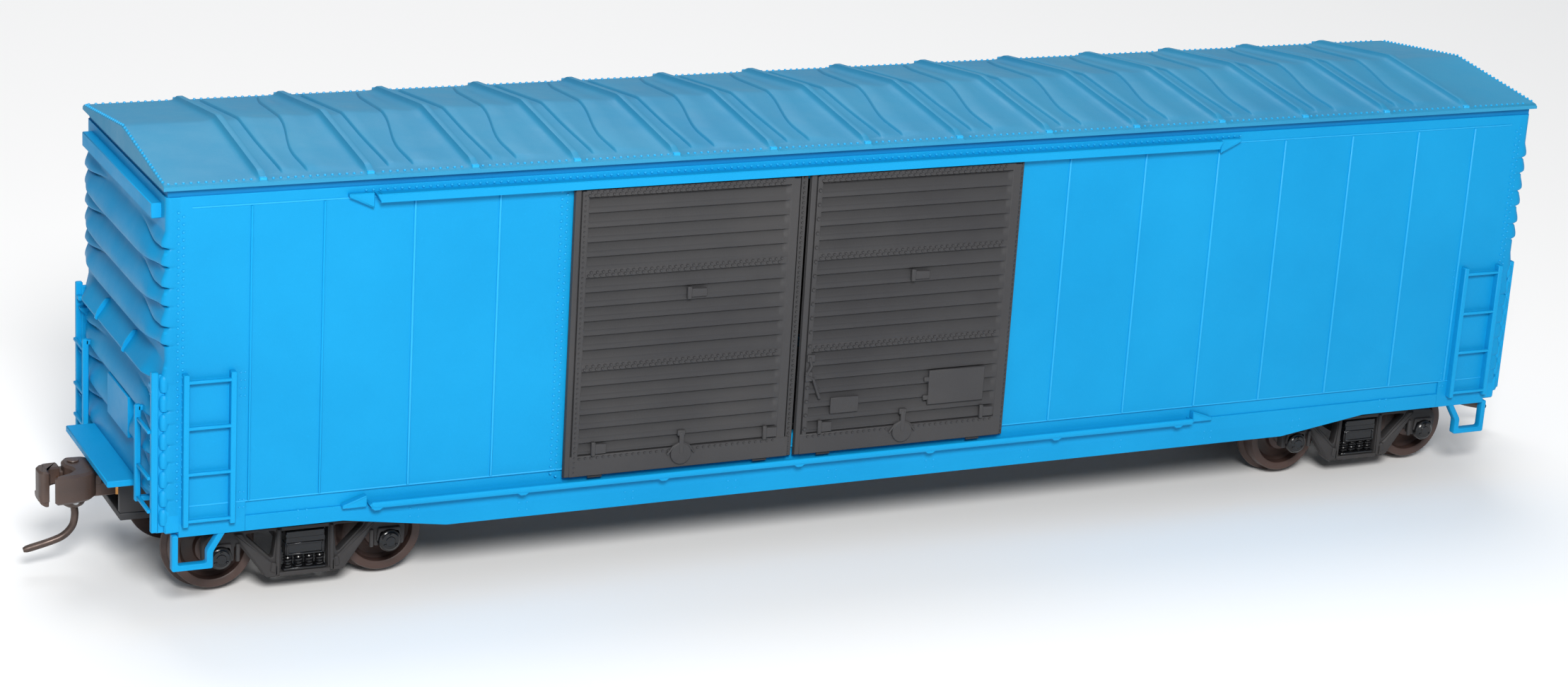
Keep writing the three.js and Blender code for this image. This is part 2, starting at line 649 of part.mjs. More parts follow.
// ---- assembly ----
add('body_shell', bodyShell(), bodyBlue());
add('roof', roof(), roofBlue());
add('underframe', underframe(), underBlack());
add('floor_weight', floorWeight(), steel());
add('brake_cylinder', brakeCylinder(), underBlack());
add('air_reservoir', airReservoir(), underBlack());
add('control_valve', controlValve(), underBlack());
add('brake_lever', brakeLever(), underBlack());
add('brake_rod', brakeRod(), underBlack());
add('brake_housing', brakeHousing(), bodyBlue());
add('brake_wheel', brakeWheel(), bodyBlue());

for (const [side, turn] of [['left', 0], ['right', Math.PI]]) {
  const group = new THREE.Group();
  group.rotation.z = turn;
  car.add(group);
  add(`aux_door_${side}`, door(AUX_DOOR.x0, AUX_DOOR.x1), doorGrey(), group);
  add(`main_door_${side}`, door(MAIN_DOOR.x0, MAIN_DOOR.x1), doorGrey(), group);
}

addTruck('a', -1);
addTruck('b', 1);
addEnd('a', -1);
addEnd('b', 1);

export default car;
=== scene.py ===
"""Looks for the HO scale model box car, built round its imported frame. Shapes are in millimetres."""

import json
import math
from itertools import product

import bmesh
import bpy
import numpy as np
from mathutils import Matrix, Vector


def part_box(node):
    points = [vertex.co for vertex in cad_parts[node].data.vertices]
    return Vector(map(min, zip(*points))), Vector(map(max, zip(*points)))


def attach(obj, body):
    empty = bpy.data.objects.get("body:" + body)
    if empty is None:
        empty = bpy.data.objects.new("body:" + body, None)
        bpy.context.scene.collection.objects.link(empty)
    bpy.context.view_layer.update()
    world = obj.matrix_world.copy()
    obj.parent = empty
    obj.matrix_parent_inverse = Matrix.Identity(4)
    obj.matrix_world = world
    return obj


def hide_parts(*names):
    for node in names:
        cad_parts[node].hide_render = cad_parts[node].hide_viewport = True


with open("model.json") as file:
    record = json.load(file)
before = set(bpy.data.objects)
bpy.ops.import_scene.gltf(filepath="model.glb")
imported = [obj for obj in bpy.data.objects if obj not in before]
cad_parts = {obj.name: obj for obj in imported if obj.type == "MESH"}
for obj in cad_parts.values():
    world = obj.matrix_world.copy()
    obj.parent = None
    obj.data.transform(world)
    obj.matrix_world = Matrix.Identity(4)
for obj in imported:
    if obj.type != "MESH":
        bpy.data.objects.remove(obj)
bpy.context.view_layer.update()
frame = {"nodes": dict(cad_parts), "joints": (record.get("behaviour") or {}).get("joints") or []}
MM = 0.001  # metres in a millimetre

# ---- sizes taken from the frame ----


def node_box(name):
    """Lowest and highest corner of a CAD node, in millimetres."""
    low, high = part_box(name)
    return np.array(low) / MM, np.array(high) / MM


shell_lo, shell_hi = node_box("body_shell")
DOOR_X = {kind: [corner[0] for corner in node_box(f"{kind}_door_left")] for kind in ("aux", "main")}
JOINT_AT = {j["name"]: np.array(j["pos_m"]) / MM for j in frame["joints"] if "pos_m" in j}
TRUCK_X = JOINT_AT["truck_swivel_b"][0]
AXLE_Z = JOINT_AT["wheel_spin_b_inner"][2]
HALF_BASE = TRUCK_X - JOINT_AT["wheel_spin_b_inner"][0]
COUPLER_X = JOINT_AT["coupler_swing_b"][0]
KNUCKLE_X, KNUCKLE_Y = JOINT_AT["knuckle_open_b"][:2]

SIDE_Y = 17.0
FACE = -SIDE_Y  # outer face of the near side
WALL = 1.2
SHEET_END = 87.7  # where the body's corners begin
SIDE_END = SHEET_END - 0.7
END_X = 88.6
BODY_TOP = 49.0
TOP = BODY_TOP - 0.12
SILL_END_Z = 10.1
SILL_MID_Z = shell_lo[2] + 2.3
SILL_FLAT_X = 56.0  # the deep middle of the sill ends here
SILL_RISE_X = 68.2  # and its slope ends here
SILL_LEDGE = 13.6
ROOF_X, EAVE_Y = node_box("roof")[1][:2]
EAVE_Z = 50.3
RIDGE_Z = 52.4
ROOF_LIP_Z = 49.72
ROOF_RIB_PITCH = 12.02
ROOF_BAYS = 13
FIRST_RIB = -ROOF_RIB_PITCH * ROOF_BAYS / 2
ROOF_RIBS = [FIRST_RIB + k * ROOF_RIB_PITCH for k in range(ROOF_BAYS + 1)]
RIVET_PITCH = 0.82
TRACK_OUT = shell_hi[1]
SMOOTH_ANGLE = math.radians(38)


# ---- shapes ----


def placed(name, data):
    """A new object in the scene."""
    obj = bpy.data.objects.new(name, data)
    bpy.context.scene.collection.objects.link(obj)
    return obj


def bands(rings, sides):
    """The four-cornered faces between neighbouring rings of points."""
    faces = []
    for ring in range(rings - 1):
        for k in range(sides):
            a, b = ring * sides + k, ring * sides + (k + 1) % sides
            faces.append((a, b, b + sides, a + sides))
    return faces


class Shape:
    """Closed forms gathered in millimetres, and turned into one piece at the end."""

    def __init__(self):
        self.verts = []
        self.faces = []

    def add(self, verts, faces):
        base = len(self.verts)
        self.verts.extend(tuple(map(float, v)) for v in verts)
        self.faces.extend(tuple(base + i for i in f) for f in faces)
        return self

    def box(self, x0, x1, y0, y1, z0, z1, c=0.06):
        """A box with chamfered edges."""
        lo, hi = np.minimum((x0, y0, z0), (x1, y1, z1)), np.maximum((x0, y0, z0), (x1, y1, z1))
        centre, half = (lo + hi) / 2, (hi - lo) / 2
        c = min(c, *(half * 0.45))
        verts = []
        for sign in product((-1, 1), repeat=3):
            for axis in range(3):
                inner = half - c
                inner[axis] = half[axis]
                verts.append(centre + inner * sign)
        corners, faces = np.array(verts), []
        for way in product((-1, 0, 1), repeat=3):
            if any(way):  # a side, an edge's chamfer or a corner: the points furthest that way
                reach = corners @ way
                ring = np.flatnonzero(reach > reach.max() - c / 2).tolist()
                middle = corners[ring].mean(0)
                across = np.cross(way, corners[ring[0]] - middle)
                angle = {k: math.atan2((corners[k] - middle) @ across * np.linalg.norm(way),
                                       (corners[k] - middle) @ np.cross(across, way)) for k in ring}
                faces.append(sorted(ring, key=angle.get))
        return self.add(verts, faces)

    def dome(self, x, y, z, r, h, normal=(0, -1, 0), sides=6):
        """A small rivet head standing on a surface; its foot is sunk a little into it."""
        n = Vector(normal).normalized()
        u = n.orthogonal().normalized()
        w = n.cross(u)
        at = Vector((x, y, z))
        verts, faces = [], bands(3, sides)
        for radius, height in ((r, -0.05), (r, h * 0.25), (r * 0.72, h * 0.8)):
            for k in range(sides):
                a = 2 * math.pi * k / sides
                verts.append(at + (u * math.cos(a) + w * math.sin(a)) * radius + n * height)
        verts.append(at + n * h)
        top = 2 * sides
        faces.extend((top + k, top + (k + 1) % sides, 3 * sides) for k in range(sides))
        faces.append(tuple(range(sides))[::-1])
        return self.add(verts, faces)

    def prism(self, points, axis, a0, a1, c=0.0):
        """An outline pushed along an axis, with its far rim chamfered by c.
        Points are the two other axes, in X, Y, Z order, anticlockwise or clockwise."""
        pts = np.array(points, float)
        area = 0.5 * np.sum(pts[:, 0] * np.roll(pts[:, 1], -1) - np.roll(pts[:, 0], -1) * pts[:, 1])
        if area < 0:
            pts = pts[::-1]
        rings = [(pts, a0), (pts, a1)]
        if c:
            rings = [(pts, a0), (pts, a1 - math.copysign(c, a1 - a0)), (inset(pts, c), a1)]
        n = len(pts)
        others = [i for i in range(3) if i != axis]
        verts = []
        for ring, along in rings:
            for p in ring:
                v = [0.0, 0.0, 0.0]
                v[axis], v[others[0]], v[others[1]] = along, p[0], p[1]
                verts.append(v)
        faces = [tuple(range(n))[::-1], tuple(range((len(rings) - 1) * n, len(rings) * n))]
        faces += bands(len(rings), n)
        if (axis == 1) != (a1 < a0):
            faces = [f[::-1] for f in faces]
        return self.add(verts, faces)

    def lathe(self, profile, centre, axis=2, sides=48):
        """(radius, along) points turned round an axis. The profile closes on itself or starts
        and ends at radius 0."""
        centre = np.array(centre, float)
        a, b = (axis + 1) % 3, (axis + 2) % 3
        verts, rows = [], []
        for r, along in profile:
            row = []
            for k in range(1 if r == 0 else sides):
                t = 2 * math.pi * k / sides
                v = centre.copy()
                v[axis] += along
                v[a] += r * math.cos(t)
                v[b] += r * math.sin(t)
                row.append(len(verts))
                verts.append(v)
            rows.append(row)
        faces = []
        closed = profile[0][0] != 0
        pairs = list(zip(rows, rows[1:] + rows[:1])) if closed else list(zip(rows, rows[1:]))
        for low, high in pairs:
            for k in range(sides):
                ring = [low[k % len(low)], low[(k + 1) % sides % len(low)],
                        high[(k + 1) % sides % len(high)], high[k % len(high)]]
                ring = list(dict.fromkeys(ring))
                if len(ring) > 2:
                    faces.append(ring)
        return self.add(verts, faces)

    def rod(self, p0, p1, r, sides=16, c=0.0):
        """A round bar between two points along an axis, with rims chamfered by c."""
        p0, p1 = np.array(p0, float), np.array(p1, float)
        axis = int(np.argmax(np.abs(p1 - p0)))
        length = (p1 - p0)[axis]
        s = math.copysign(1, length)
        profile = [(0, 0), (r - c, 0), (r, s * c), (r, length - s * c), (r - c, length), (0, length)]
        if s < 0:
            profile = profile[::-1]
        return self.lathe(profile, p0, axis, sides)

    def tube(self, path, r, sides=12, taper=None):
        """A round tube along a path of points, closed at both ends."""
        pts = [Vector(p) for p in path]
        side = Vector((0, 1, 0))
        verts, faces = [], bands(len(pts), sides)
        for i, p in enumerate(pts):
            along = (pts[min(i + 1, len(pts) - 1)] - pts[max(i - 1, 0)]).normalized()
            u = (side - along * side.dot(along)).normalized()
            side = u
            w = along.cross(u)
            radius = r if taper is None else r * taper(i / (len(pts) - 1))
            for k in range(sides):
                a = 2 * math.pi * k / sides
                verts.append(p + (u * math.cos(a) + w * math.sin(a)) * radius)
        last = (len(pts) - 1) * sides
        faces.append(tuple(range(sides))[::-1])
        faces.append(tuple(last + k for k in range(sides)))
        return self.add(verts, faces)

    def sheet(self, rows, back):
        """A skin through a grid of points, closed by walls down to a flat back.
        back(point) gives the back point behind each rim point."""
        rows = [[tuple(p) for p in row] for row in rows]
        nr, nc = len(rows), len(rows[0])
        verts = [p for row in rows for p in row]
        faces = [(r * nc + c, r * nc + c + 1, (r + 1) * nc + c + 1, (r + 1) * nc + c)
                 for r in range(nr - 1) for c in range(nc - 1)]
        rim = [c for c in range(nc)] + [r * nc + nc - 1 for r in range(1, nr)]
        rim += [(nr - 1) * nc + c for c in range(nc - 2, -1, -1)]
        rim += [r * nc for r in range(nr - 2, 0, -1)]
        base = len(verts)
        verts += [back(verts[i]) for i in rim]
        n = len(rim)
        faces += [(rim[(k + 1) % n], rim[k], base + k, base + (k + 1) % n) for k in range(n)]
        faces.append(tuple(base + k for k in range(n))[::-1])
        return self.add(verts, faces)

    def piece(self, name, material, body, replaces, turn=False, slot=None):
        """Makes the Blender object. turn places it half a turn round, at the other end or side.
        slot is not used."""
        sign = -MM if turn else MM
        mesh = bpy.data.meshes.new(name)
        mesh.from_pydata([(x * sign, y * sign, z * MM) for x, y, z in self.verts], [], self.faces)
        mesh.validate()
        outward(mesh)
        mesh.shade_smooth()
        mesh.set_sharp_from_angle(angle=SMOOTH_ANGLE)
        mesh.materials.append(material)
        obj = placed(name, mesh)
        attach(obj, body)
        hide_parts(*replaces)


def outward(mesh):
    """Turns the faces of each closed form outwards."""
    work = bmesh.new()
    work.from_mesh(mesh)
    bmesh.ops.recalc_face_normals(work, faces=work.faces)
    work.to_mesh(mesh)
    work.free()


def inset(pts, c):
    """An anticlockwise outline moved inwards by c."""
    ahead = np.roll(pts, -1, axis=0) - pts
    ahead /= np.linalg.norm(ahead, axis=1)[:, None]
    behind = np.roll(ahead, 1, axis=0)
    left = np.stack([-ahead[:, 1], ahead[:, 0]], 1)
    left_behind = np.stack([-behind[:, 1], behind[:, 0]], 1)
    both = left + left_behind
    both /= np.maximum((both * left).sum(1), 0.35)[:, None]
    return pts + both * c


def rounded(points, r, steps=4):
    """An outline with its corners rounded by r, or by the third value of a point."""
    pts = [Vector(p[:2]) for p in points]
    radii = [p[2] if len(p) > 2 else r for p in points]
    out = []
    for i, p in enumerate(pts):
        a, b = pts[i - 1] - p, pts[(i + 1) % len(pts)] - p
        cut = min(radii[i], a.length * 0.49, b.length * 0.49)
        if cut < 1e-4:
            out.append(tuple(p))
            continue
        start, end = p + a.normalized() * cut, p + b.normalized() * cut
        for k in range(steps + 1):
            t = k / steps
            out.append(tuple(start * (1 - t) ** 2 + p * 2 * t * (1 - t) + end * t * t))
    return out


def plate(shape, outer, holes, y0, y1, bevel=0.08):
    """A plate in the X-Z plane with holes and rounded rims, from depth y0 to y1."""
    curve = bpy.data.curves.new("plate", "CURVE")
    curve.dimensions = "2D"
    curve.fill_mode = "BOTH"
    curve.extrude = abs(y1 - y0) / 2 - bevel
    curve.bevel_depth = bevel
    curve.bevel_resolution = 1
    curve.offset = -bevel
    for loop in [outer, *holes]:
        spline = curve.splines.new("POLY")
        spline.points.add(len(loop) - 1)
        for point, (a, b) in zip(spline.points, loop):
            point.co = (a, b, 0, 1)
        spline.use_cyclic_u = True
    obj = placed("plate", curve)
    bpy.context.view_layer.update()
    mesh = bpy.data.meshes.new_from_object(obj)
    mid = (y0 + y1) / 2
    verts = [(v.co.x, mid - v.co.z, v.co.y) for v in mesh.vertices]
    shape.add(verts, [tuple(p.vertices) for p in mesh.polygons])
    bpy.data.objects.remove(obj)
    bpy.data.curves.remove(curve)
    bpy.data.meshes.remove(mesh)
    return shape


def mirrored(outline):
    """The same outline on the other side of 0, run through backwards."""
    return [(-x, z) for x, z in outline[::-1]]


def linear_step(x, low, high):
    """0 below low, 1 above high, and straight between them."""
    return min(max((x - low) / (high - low), 0.0), 1.0)


def smoothstep(x, low, high):
    t = linear_step(x, low, high)
    return t * t * (3 - 2 * t)


# ---- materials ----


def put(tree, socket, value):
    """Gives an input a value, or links another node's output to it."""
    if isinstance(value, bpy.types.NodeSocket):
        tree.links.new(value, socket)
    else:
        socket.default_value = value


def add_node(tree, kind, **inputs):
    node = tree.nodes.new(f"ShaderNode{kind}")
    for name, value in inputs.items():
        put(tree, node.inputs[name], value)
    return node


def noise(tree, scale, detail=3.0, rough=0.55, stretch=None):
    """Noise in object space; scale counts features per metre."""
    source = add_node(tree, "TexCoord").outputs["Object"]
    if stretch:
        source = add_node(tree, "Mapping", Vector=source, Scale=stretch).outputs["Vector"]
    node = add_node(tree, "TexNoise", Vector=source, Scale=scale, Detail=detail, Roughness=rough)
    return node.outputs["Fac"]


def ramp(tree, source, stops):
    """Maps a value to colours; stops are (position, colour)."""
    node = add_node(tree, "ValToRGB", Fac=source)
    elements = node.color_ramp.elements
    for element, (position, color) in zip(elements, (stops[0], stops[-1])):
        element.position, element.color = position, color
    for position, color in stops[1:-1]:
        elements.new(position).color = color
    return node.outputs["Color"]


def mix(tree, factor, a, b, blend="MIX"):
    node = add_node(tree, "Mix")
    node.data_type = "RGBA"
    node.blend_type = blend
    for name, value in (("Factor", factor), ("A", a), ("B", b)):
        put(tree, next(s for s in node.inputs if s.name == name and s.enabled), value)
    return next(s for s in node.outputs if s.enabled)


def grey(v):
    return (v, v, v, 1.0)


def srgb(display):
    """A linear colour from 0-255 display values."""
    return (*[((c / 255 + 0.055) / 1.055) ** 2.4 if c > 10 else c / 3294.6 for c in display], 1.0)


def scaled(color, k):
    return tuple(min(1.0, c * k) for c in color[:3]) + (1.0,)


def bump(tree, layers):
    """Stacks bump layers; each is (height socket, distance in metres, strength)."""
    below = {}
    for height, distance, strength in layers:
        node = add_node(tree, "Bump", Height=height, Distance=distance, Strength=strength, **below)
        below = {"Normal": node.outputs["Normal"]}
    return below["Normal"]


def curvature(tree, low, high, least=0.0):
    """A grey from the mesh's own curvature: least up to low, and 1 from high on. Flats are at 0.5,
    hollows below it and edges above it."""
    source = add_node(tree, "NewGeometry").outputs["Pointiness"]
    return ramp(tree, source, [(low, grey(least)), (high, grey(1))])


def surface(name, **inputs):
    """A material. inputs are the shader's, with _ for a space: each a value, or a function that
    makes its nodes in the material's tree."""
    material = bpy.data.materials.new(name)
    material.use_nodes = True
    tree = material.node_tree
    for key, value in inputs.items():
        socket = tree.nodes["Principled BSDF"].inputs[key.replace("_", " ")]
        put(tree, socket, value(tree) if callable(value) else value)
    return material


def paint(name, color, light, dark, roughness, specular=0.5, grain=0.55, edge_highlight=0.25, hollow_shade=0.3):
    """Moulded plastic with a sprayed finish: cloudy tone, fine grain, dust, a painted highlight
    on its convex edges and painted shade in its hollows."""
    color, light, dark = srgb(color), srgb(light), srgb(dark)

    def tone(tree):
        cloud = ramp(tree, noise(tree, 45, 4), [(0.3, dark), (0.5, color), (0.72, light)])
        specks = ramp(tree, noise(tree, 2600, 2, 0.7), [(0.66, grey(0)), (0.76, grey(1))])
        dusty = mix(tree, mix(tree, 0.22, grey(0), specks), cloud, scaled(light, 1.25))
        # painted highlight: convex edges are mixed toward a paler copy of the paint
        edges = mix(tree, edge_highlight, grey(0), curvature(tree, 0.52, 0.62))
        edge_highlighted = mix(tree, edges, dusty, scaled(light, 1.35))
        # painted shade: hollows and creases are multiplied darker
        return mix(tree, 1.0, edge_highlighted, curvature(tree, 0.4, 0.487, hollow_shade), "MULTIPLY")

    def rough(tree):
        return ramp(tree, noise(tree, 220, 5),
                    [(0.3, grey(roughness - 0.07)), (0.7, grey(roughness + 0.09))])

    def relief(tree):
        return bump(tree, [(noise(tree, 700, 2, 0.5), 0.00006, 0.25),
                           (noise(tree, 5200, 3, 0.6), 0.00003, grain)])

    return surface(name, Base_Color=tone, Roughness=rough, Specular_IOR_Level=specular, Normal=relief)


def metal(name, color, dark, roughness, streak=(1, 1, 1), metallic=1.0):
    """Bare or blackened metal: fine drawn streaks, stains and a painted highlight on convex edges."""
    color, dark = srgb(color), srgb(dark)

    def tone(tree):
        stain = ramp(tree, noise(tree, 260, 4, stretch=streak), [(0.32, dark), (0.66, color)])
        # painted highlight: convex edges are mixed toward a paler copy of the metal
        edges = mix(tree, 0.4, grey(0), curvature(tree, 0.52, 0.6))
        return mix(tree, edges, stain, scaled(color, 1.3))

    def rough(tree):
        return ramp(tree, noise(tree, 900, 4, stretch=streak),
                    [(0.3, grey(roughness - 0.08)), (0.7, grey(roughness + 0.12))])

    def relief(tree):
        return bump(tree, [(noise(tree, 2400, 3, stretch=streak), 0.00003, 0.4)])

    return surface(name, Base_Color=tone, Roughness=rough, Metallic=metallic, Normal=relief)


# Each paint's edge setting lifts convex edges toward a paler painted highlight; its hollow setting is
# the darkest painted shade in hollows.
BLUE = paint("body_blue", (13, 139, 194), (17, 144, 199), (9, 134, 189), 0.44, 0.12)
# painted highlight: a lighter copy of the body blue for seams, ledges and rivets that catch the light
HIGHLIGHT_BLUE = paint("highlight_blue", (23, 151, 206), (29, 157, 211), (18, 146, 201), 0.38, 0.3)
# painted shadow: a darker blue for the band under the roof lip, standing in for the lip's shadow
LIP_SHADE_BLUE = paint("lip_shade_blue", (8, 108, 164), (10, 114, 169), (6, 102, 158), 0.5, 0.12)
# painted shade and painted sheen: the roof is the body's blue, darker and greyer to match its duller,
# sheened slopes
ROOF_SHADE_AND_SHEEN = paint("roof_blue", (34, 132, 174), (42, 137, 177), (26, 127, 171), 0.5, 0.32, hollow_shade=1.0)
DOOR = paint("door_grey", (55, 55, 57), (62, 61, 62), (48, 48, 51), 0.55, 0.3, edge_highlight=0.15)
SIDEFRAME = paint("frame_grey", (46, 45, 46), (56, 54, 54), (38, 38, 40), 0.6, 0.3, edge_highlight=0.3)
BOX_GREY = paint("box_grey", (44, 44, 46), (52, 51, 53), (37, 37, 40), 0.6, 0.4, edge_highlight=0.3)
GLOSS = paint("gloss_black", (14, 14, 16), (20, 20, 22), (10, 10, 12), 0.2, grain=0.25)
UNDER = paint("underframe_black", (26, 26, 28), (33, 33, 35), (20, 20, 22), 0.5, 0.4, edge_highlight=0.3)
WHEEL = paint("wheel_brown", (62, 47, 43), (74, 57, 52), (50, 39, 36), 0.42, 0.4, edge_highlight=0.4)
COUPLER = paint("coupler_brown", (70, 56, 50), (88, 68, 59), (55, 45, 42), 0.42, 0.5, edge_highlight=0.5)
PIN = metal("pin_metal", (92, 78, 72), (52, 44, 42), 0.42, metallic=0.6)
BRONZE = metal("bronze", (176, 128, 76), (128, 86, 48), 0.32)
STEEL = metal("steel", (186, 188, 190), (138, 139, 142), 0.34, streak=(1, 14, 1))


# ---- roof ----


def roof_line_a(f):
    """Place of the first pressed step in a bay, from 0 to 1; f is -1 at the near eave."""
    return 0.19 + 0.03 * smoothstep(-f, 0.3, 0.95)


def roof_line_b(f):
    """The second step runs slantwise over the ridge."""
    if f < 0:
        return 0.58 - 0.143 * smoothstep(-f, 0, 0.65) + 0.02 * smoothstep(-f, 0.6, 0.95)
    return 0.58 + 0.15 * f + 0.06 * smoothstep(f, 0.6, 1.0)


def rib_foot(x, f):
    """(x, height) columns of the slope that leads up to the rib at x."""
    foot = 0.3 * (1 - 0.8 * smoothstep(abs(f), 0.9, 1.0))
    return [(x - 1.9, 0.0), (x - 1.2, foot * 0.12), (x - 0.8, foot * 0.4), (x - 0.52, foot)]


def roof_bay(x, f):
    """(x, height) columns from one main rib to just before the next."""
    step = 0.3 * (1 - smoothstep(abs(f), 0.84, 0.93))
    rib = 0.7 - 0.5 * smoothstep(abs(f), 0.9, 1.0)
    a = x + roof_line_a(f) * ROOF_RIB_PITCH
    b = x + roof_line_b(f) * ROOF_RIB_PITCH
    end = x + ROOF_RIB_PITCH
    return [
        (x - 0.34, rib * 0.96), (x - 0.22, rib), (x + 0.26, rib), (x + 0.4, rib * 0.9),
        (x + 0.5, 0.05), (x + 0.6, 0), (a - 0.14, 0), (a - 0.02, step * 0.75), (a + 0.12, step),
        (a + 0.32 * (b - a), step * 0.62), (b - 0.7, step * 0.05), (b - 0.14, 0),
        (b - 0.02, step * 0.75), (b + 0.12, step), (b + 0.4 * (end - b), step * 0.45),
        *rib_foot(end, f),
    ]


def roof_row(f):
    """One line of points along the whole roof; f runs from -1 at the near eave to 1."""
    drop = 0.16 * smoothstep(abs(f), 0.985, 1.0)
    crown = EAVE_Z + (RIDGE_Z - EAVE_Z) * (1 - math.sqrt(f * f + 0.0004)) - drop
    columns = [(-ROOF_X, -0.12), (-ROOF_X + 0.12, 0), *rib_foot(FIRST_RIB, f)]
    for rib in ROOF_RIBS:
        columns += roof_bay(rib, f)
    columns = [c for c in columns if c[0] < 0.61 - FIRST_RIB]
    columns += [(ROOF_X - 0.12, 0), (ROOF_X, -0.12)]
    return [(x, EAVE_Y * f, crown + dz) for x, dz in columns]


def build_roof():
    """The pressed roof skin, the band under its lip painted darker as the lip's shadow, and the rivets
    along its edges.
    """
    shape = Shape()
    near = [1, 0.996, 0.985, 0.965, 0.945, 0.93, 0.915, 0.9, 0.88, 0.86, 0.84]
    near += [0.8 - 0.05 * i for i in range(15)] + [0.03]
    levels = [-f for f in near] + [0] + near[::-1]
    shape.sheet([roof_row(f) for f in levels], lambda p: (p[0], p[1], ROOF_LIP_Z))
    band = Shape()
    band.box(-88.4, 88.4, -16.82, 16.82, BODY_TOP - 0.35, ROOF_LIP_Z + 0.05)
    # the band is drawn in a darker blue, a painted shadow of the roof lip
    band.piece("roof_band", LIP_SHADE_BLUE, "carbody", ["roof"], slot="roof_blue")
    trim = Shape()
    for side in (-1, 1):
        normal = (0, side * 0.125, 1)
        eave = EAVE_Z + (RIDGE_Z - EAVE_Z) * 0.025
        for k in range(int(2 * (ROOF_X - 0.6) / RIVET_PITCH)):
            x = -ROOF_X + 0.6 + RIVET_PITCH * k
            if min(abs(x - rib) for rib in ROOF_RIBS) > 0.75:
                trim.dome(x, side * EAVE_Y * 0.973, eave, 0.17, 0.18, normal)
        for rib in ROOF_RIBS:
            trim.box(rib - 0.42, rib + 0.42, side * (EAVE_Y - 0.7), side * (EAVE_Y - 0.02),
                     EAVE_Z - 0.4, EAVE_Z + 0.36, 0.08)
    for end in (-1, 1):
        for k in range(-20, 21):
            y = k * RIVET_PITCH
            z = EAVE_Z + (RIDGE_Z - EAVE_Z) * (1 - abs(y) / EAVE_Y)
            normal = (end * 0.3, math.copysign(0.125, y), 1)
            trim.dome(end * (ROOF_X - 0.17), y, z, 0.17, 0.2, normal)
    shape.piece("roof_skin", ROOF_SHADE_AND_SHEEN, "carbody", ["roof"])
    # the roof's rivets and rib ends are drawn in the lighter blue, a painted highlight
    trim.piece("roof_rivets", HIGHLIGHT_BLUE, "carbody", ["roof"], slot="roof_blue")


# ---- sides, drawn on the -Y side ----

SEAMS = [-79.2, -71.1, -60.8, -50.9, 21.5, 32.0, 42.3, 51.8, 61.7, 71.6, 80.2]
SEAM_HIGHLIGHT_FROM = -65.0  # seams up to this X carry the body paint, the rest the lighter copy of it, a painted highlight
DOORWAY = (DOOR_X["aux"][0] + 2.0, DOOR_X["main"][1] - 2.0, 15.3, 46.5)
LADDER_X = 83.8


def column(shape, x, z0, z1, pitch, r=0.15, h=0.1, face=FACE):
    """A vertical row of rivets."""
    count = int((z1 - z0) / pitch)
    for k in range(count + 1):
        shape.dome(x, face, z0 + k * pitch, r, h)


def row(shape, z, x0, x1, pitch, r=0.15, h=0.1, face=FACE):
    """A horizontal row of rivets."""
    count = int((x1 - x0) / pitch)
    for k in range(count + 1):
        shape.dome(x0 + k * pitch, face, z, r, h)


def sill_line(x):
    """Height of the sill's lower edge."""
    slope = linear_step(abs(x), SILL_FLAT_X, SILL_RISE_X)
    return SILL_END_Z + (SILL_MID_Z - SILL_END_Z) * (1 - slope)


def side_sheets(shape):
    """The wall, the outer sheets above the ledge, and the sill plate below it."""
    x0, x1, z0, z1 = DOORWAY
    doorway = [(x0, z0), (x1, z0), (x1, z1), (x0, z1)]
    sill_edge = [(-SILL_RISE_X, SILL_END_Z), (-SILL_FLAT_X, SILL_MID_Z),
                 (SILL_FLAT_X, SILL_MID_Z), (SILL_RISE_X, SILL_END_Z)]
    upper_edge = [(SIDE_END, SILL_END_Z), (SIDE_END, TOP), (-SIDE_END, TOP)]
    outline = [(-SIDE_END, SILL_END_Z), *sill_edge, *upper_edge]
    plate(shape, outline, [doorway], FACE + 0.25, FACE + WALL, 0.04)
    inner, sill_top = 79.5, 11.9
    upper = [(-SIDE_END, SILL_END_Z), (-inner, SILL_END_Z), (-inner, SILL_LEDGE), (inner, SILL_LEDGE),
             (inner, SILL_END_Z), *upper_edge]
    plate(shape, upper, [doorway], FACE, FACE + 0.3, 0.06)
    sill = [(-inner, SILL_END_Z), *sill_edge, (inner, SILL_END_Z), (inner, sill_top), (-inner, sill_top)]
    plate(shape, sill, [], FACE, FACE + 0.3, 0.06)
    for x in SEAMS:
        if x <= SEAM_HIGHLIGHT_FROM:
            seam(shape, x)


def seam(shape, x):
    """The raised joint between two side sheets."""
    shape.box(x - 0.13, x + 0.13, FACE - 0.16, FACE + 0.1, SILL_LEDGE + 0.1, 47.5, 0.1)


def side_trim(shape):
    """Lines and rivets that catch the light, given a lighter blue as a painted highlight: ledges, seams
    and rivet rows.
    """
    shape.box(-SIDE_END + 1.2, SIDE_END - 1.2, FACE - 0.07, FACE + 0.1, 47.55, 47.72, 0.03)
    shape.box(-SIDE_END, SIDE_END, FACE - 0.05, FACE + 0.1, SILL_LEDGE - 0.02, SILL_LEDGE + 0.16, 0.04)
    for x in SEAMS:
        if x > SEAM_HIGHLIGHT_FROM:
            seam(shape, x)
    for x in (-42.95, -43.6):
        column(shape, x, 12.9 if x > -43 else 13.3, 47.0, 0.86, 0.17, 0.15)
    for way in (-1, 1):
        for x in (87.25, 86.7):
            column(shape, way * x, 14.5 if x > 87 else 14.9, 47.3, 0.86, 0.16, 0.15)
        for x in (79.75, 80.2):
            column(shape, way * x, 13.0, 15.0, 0.9, 0.12)
            column(shape, way * x, 26.0, 29.0, 0.9, 0.12)
    row(shape, 48.45, -66.5, 45.5, RIVET_PITCH, 0.18, 0.18)
    for middle in np.arange(-73, 75, 13.1):
        for x in (middle - 0.5, middle + 0.5):
            for rise in (1.8, 0.9):
                shape.dome(x, FACE, sill_line(x) + rise, 0.12, 0.08)


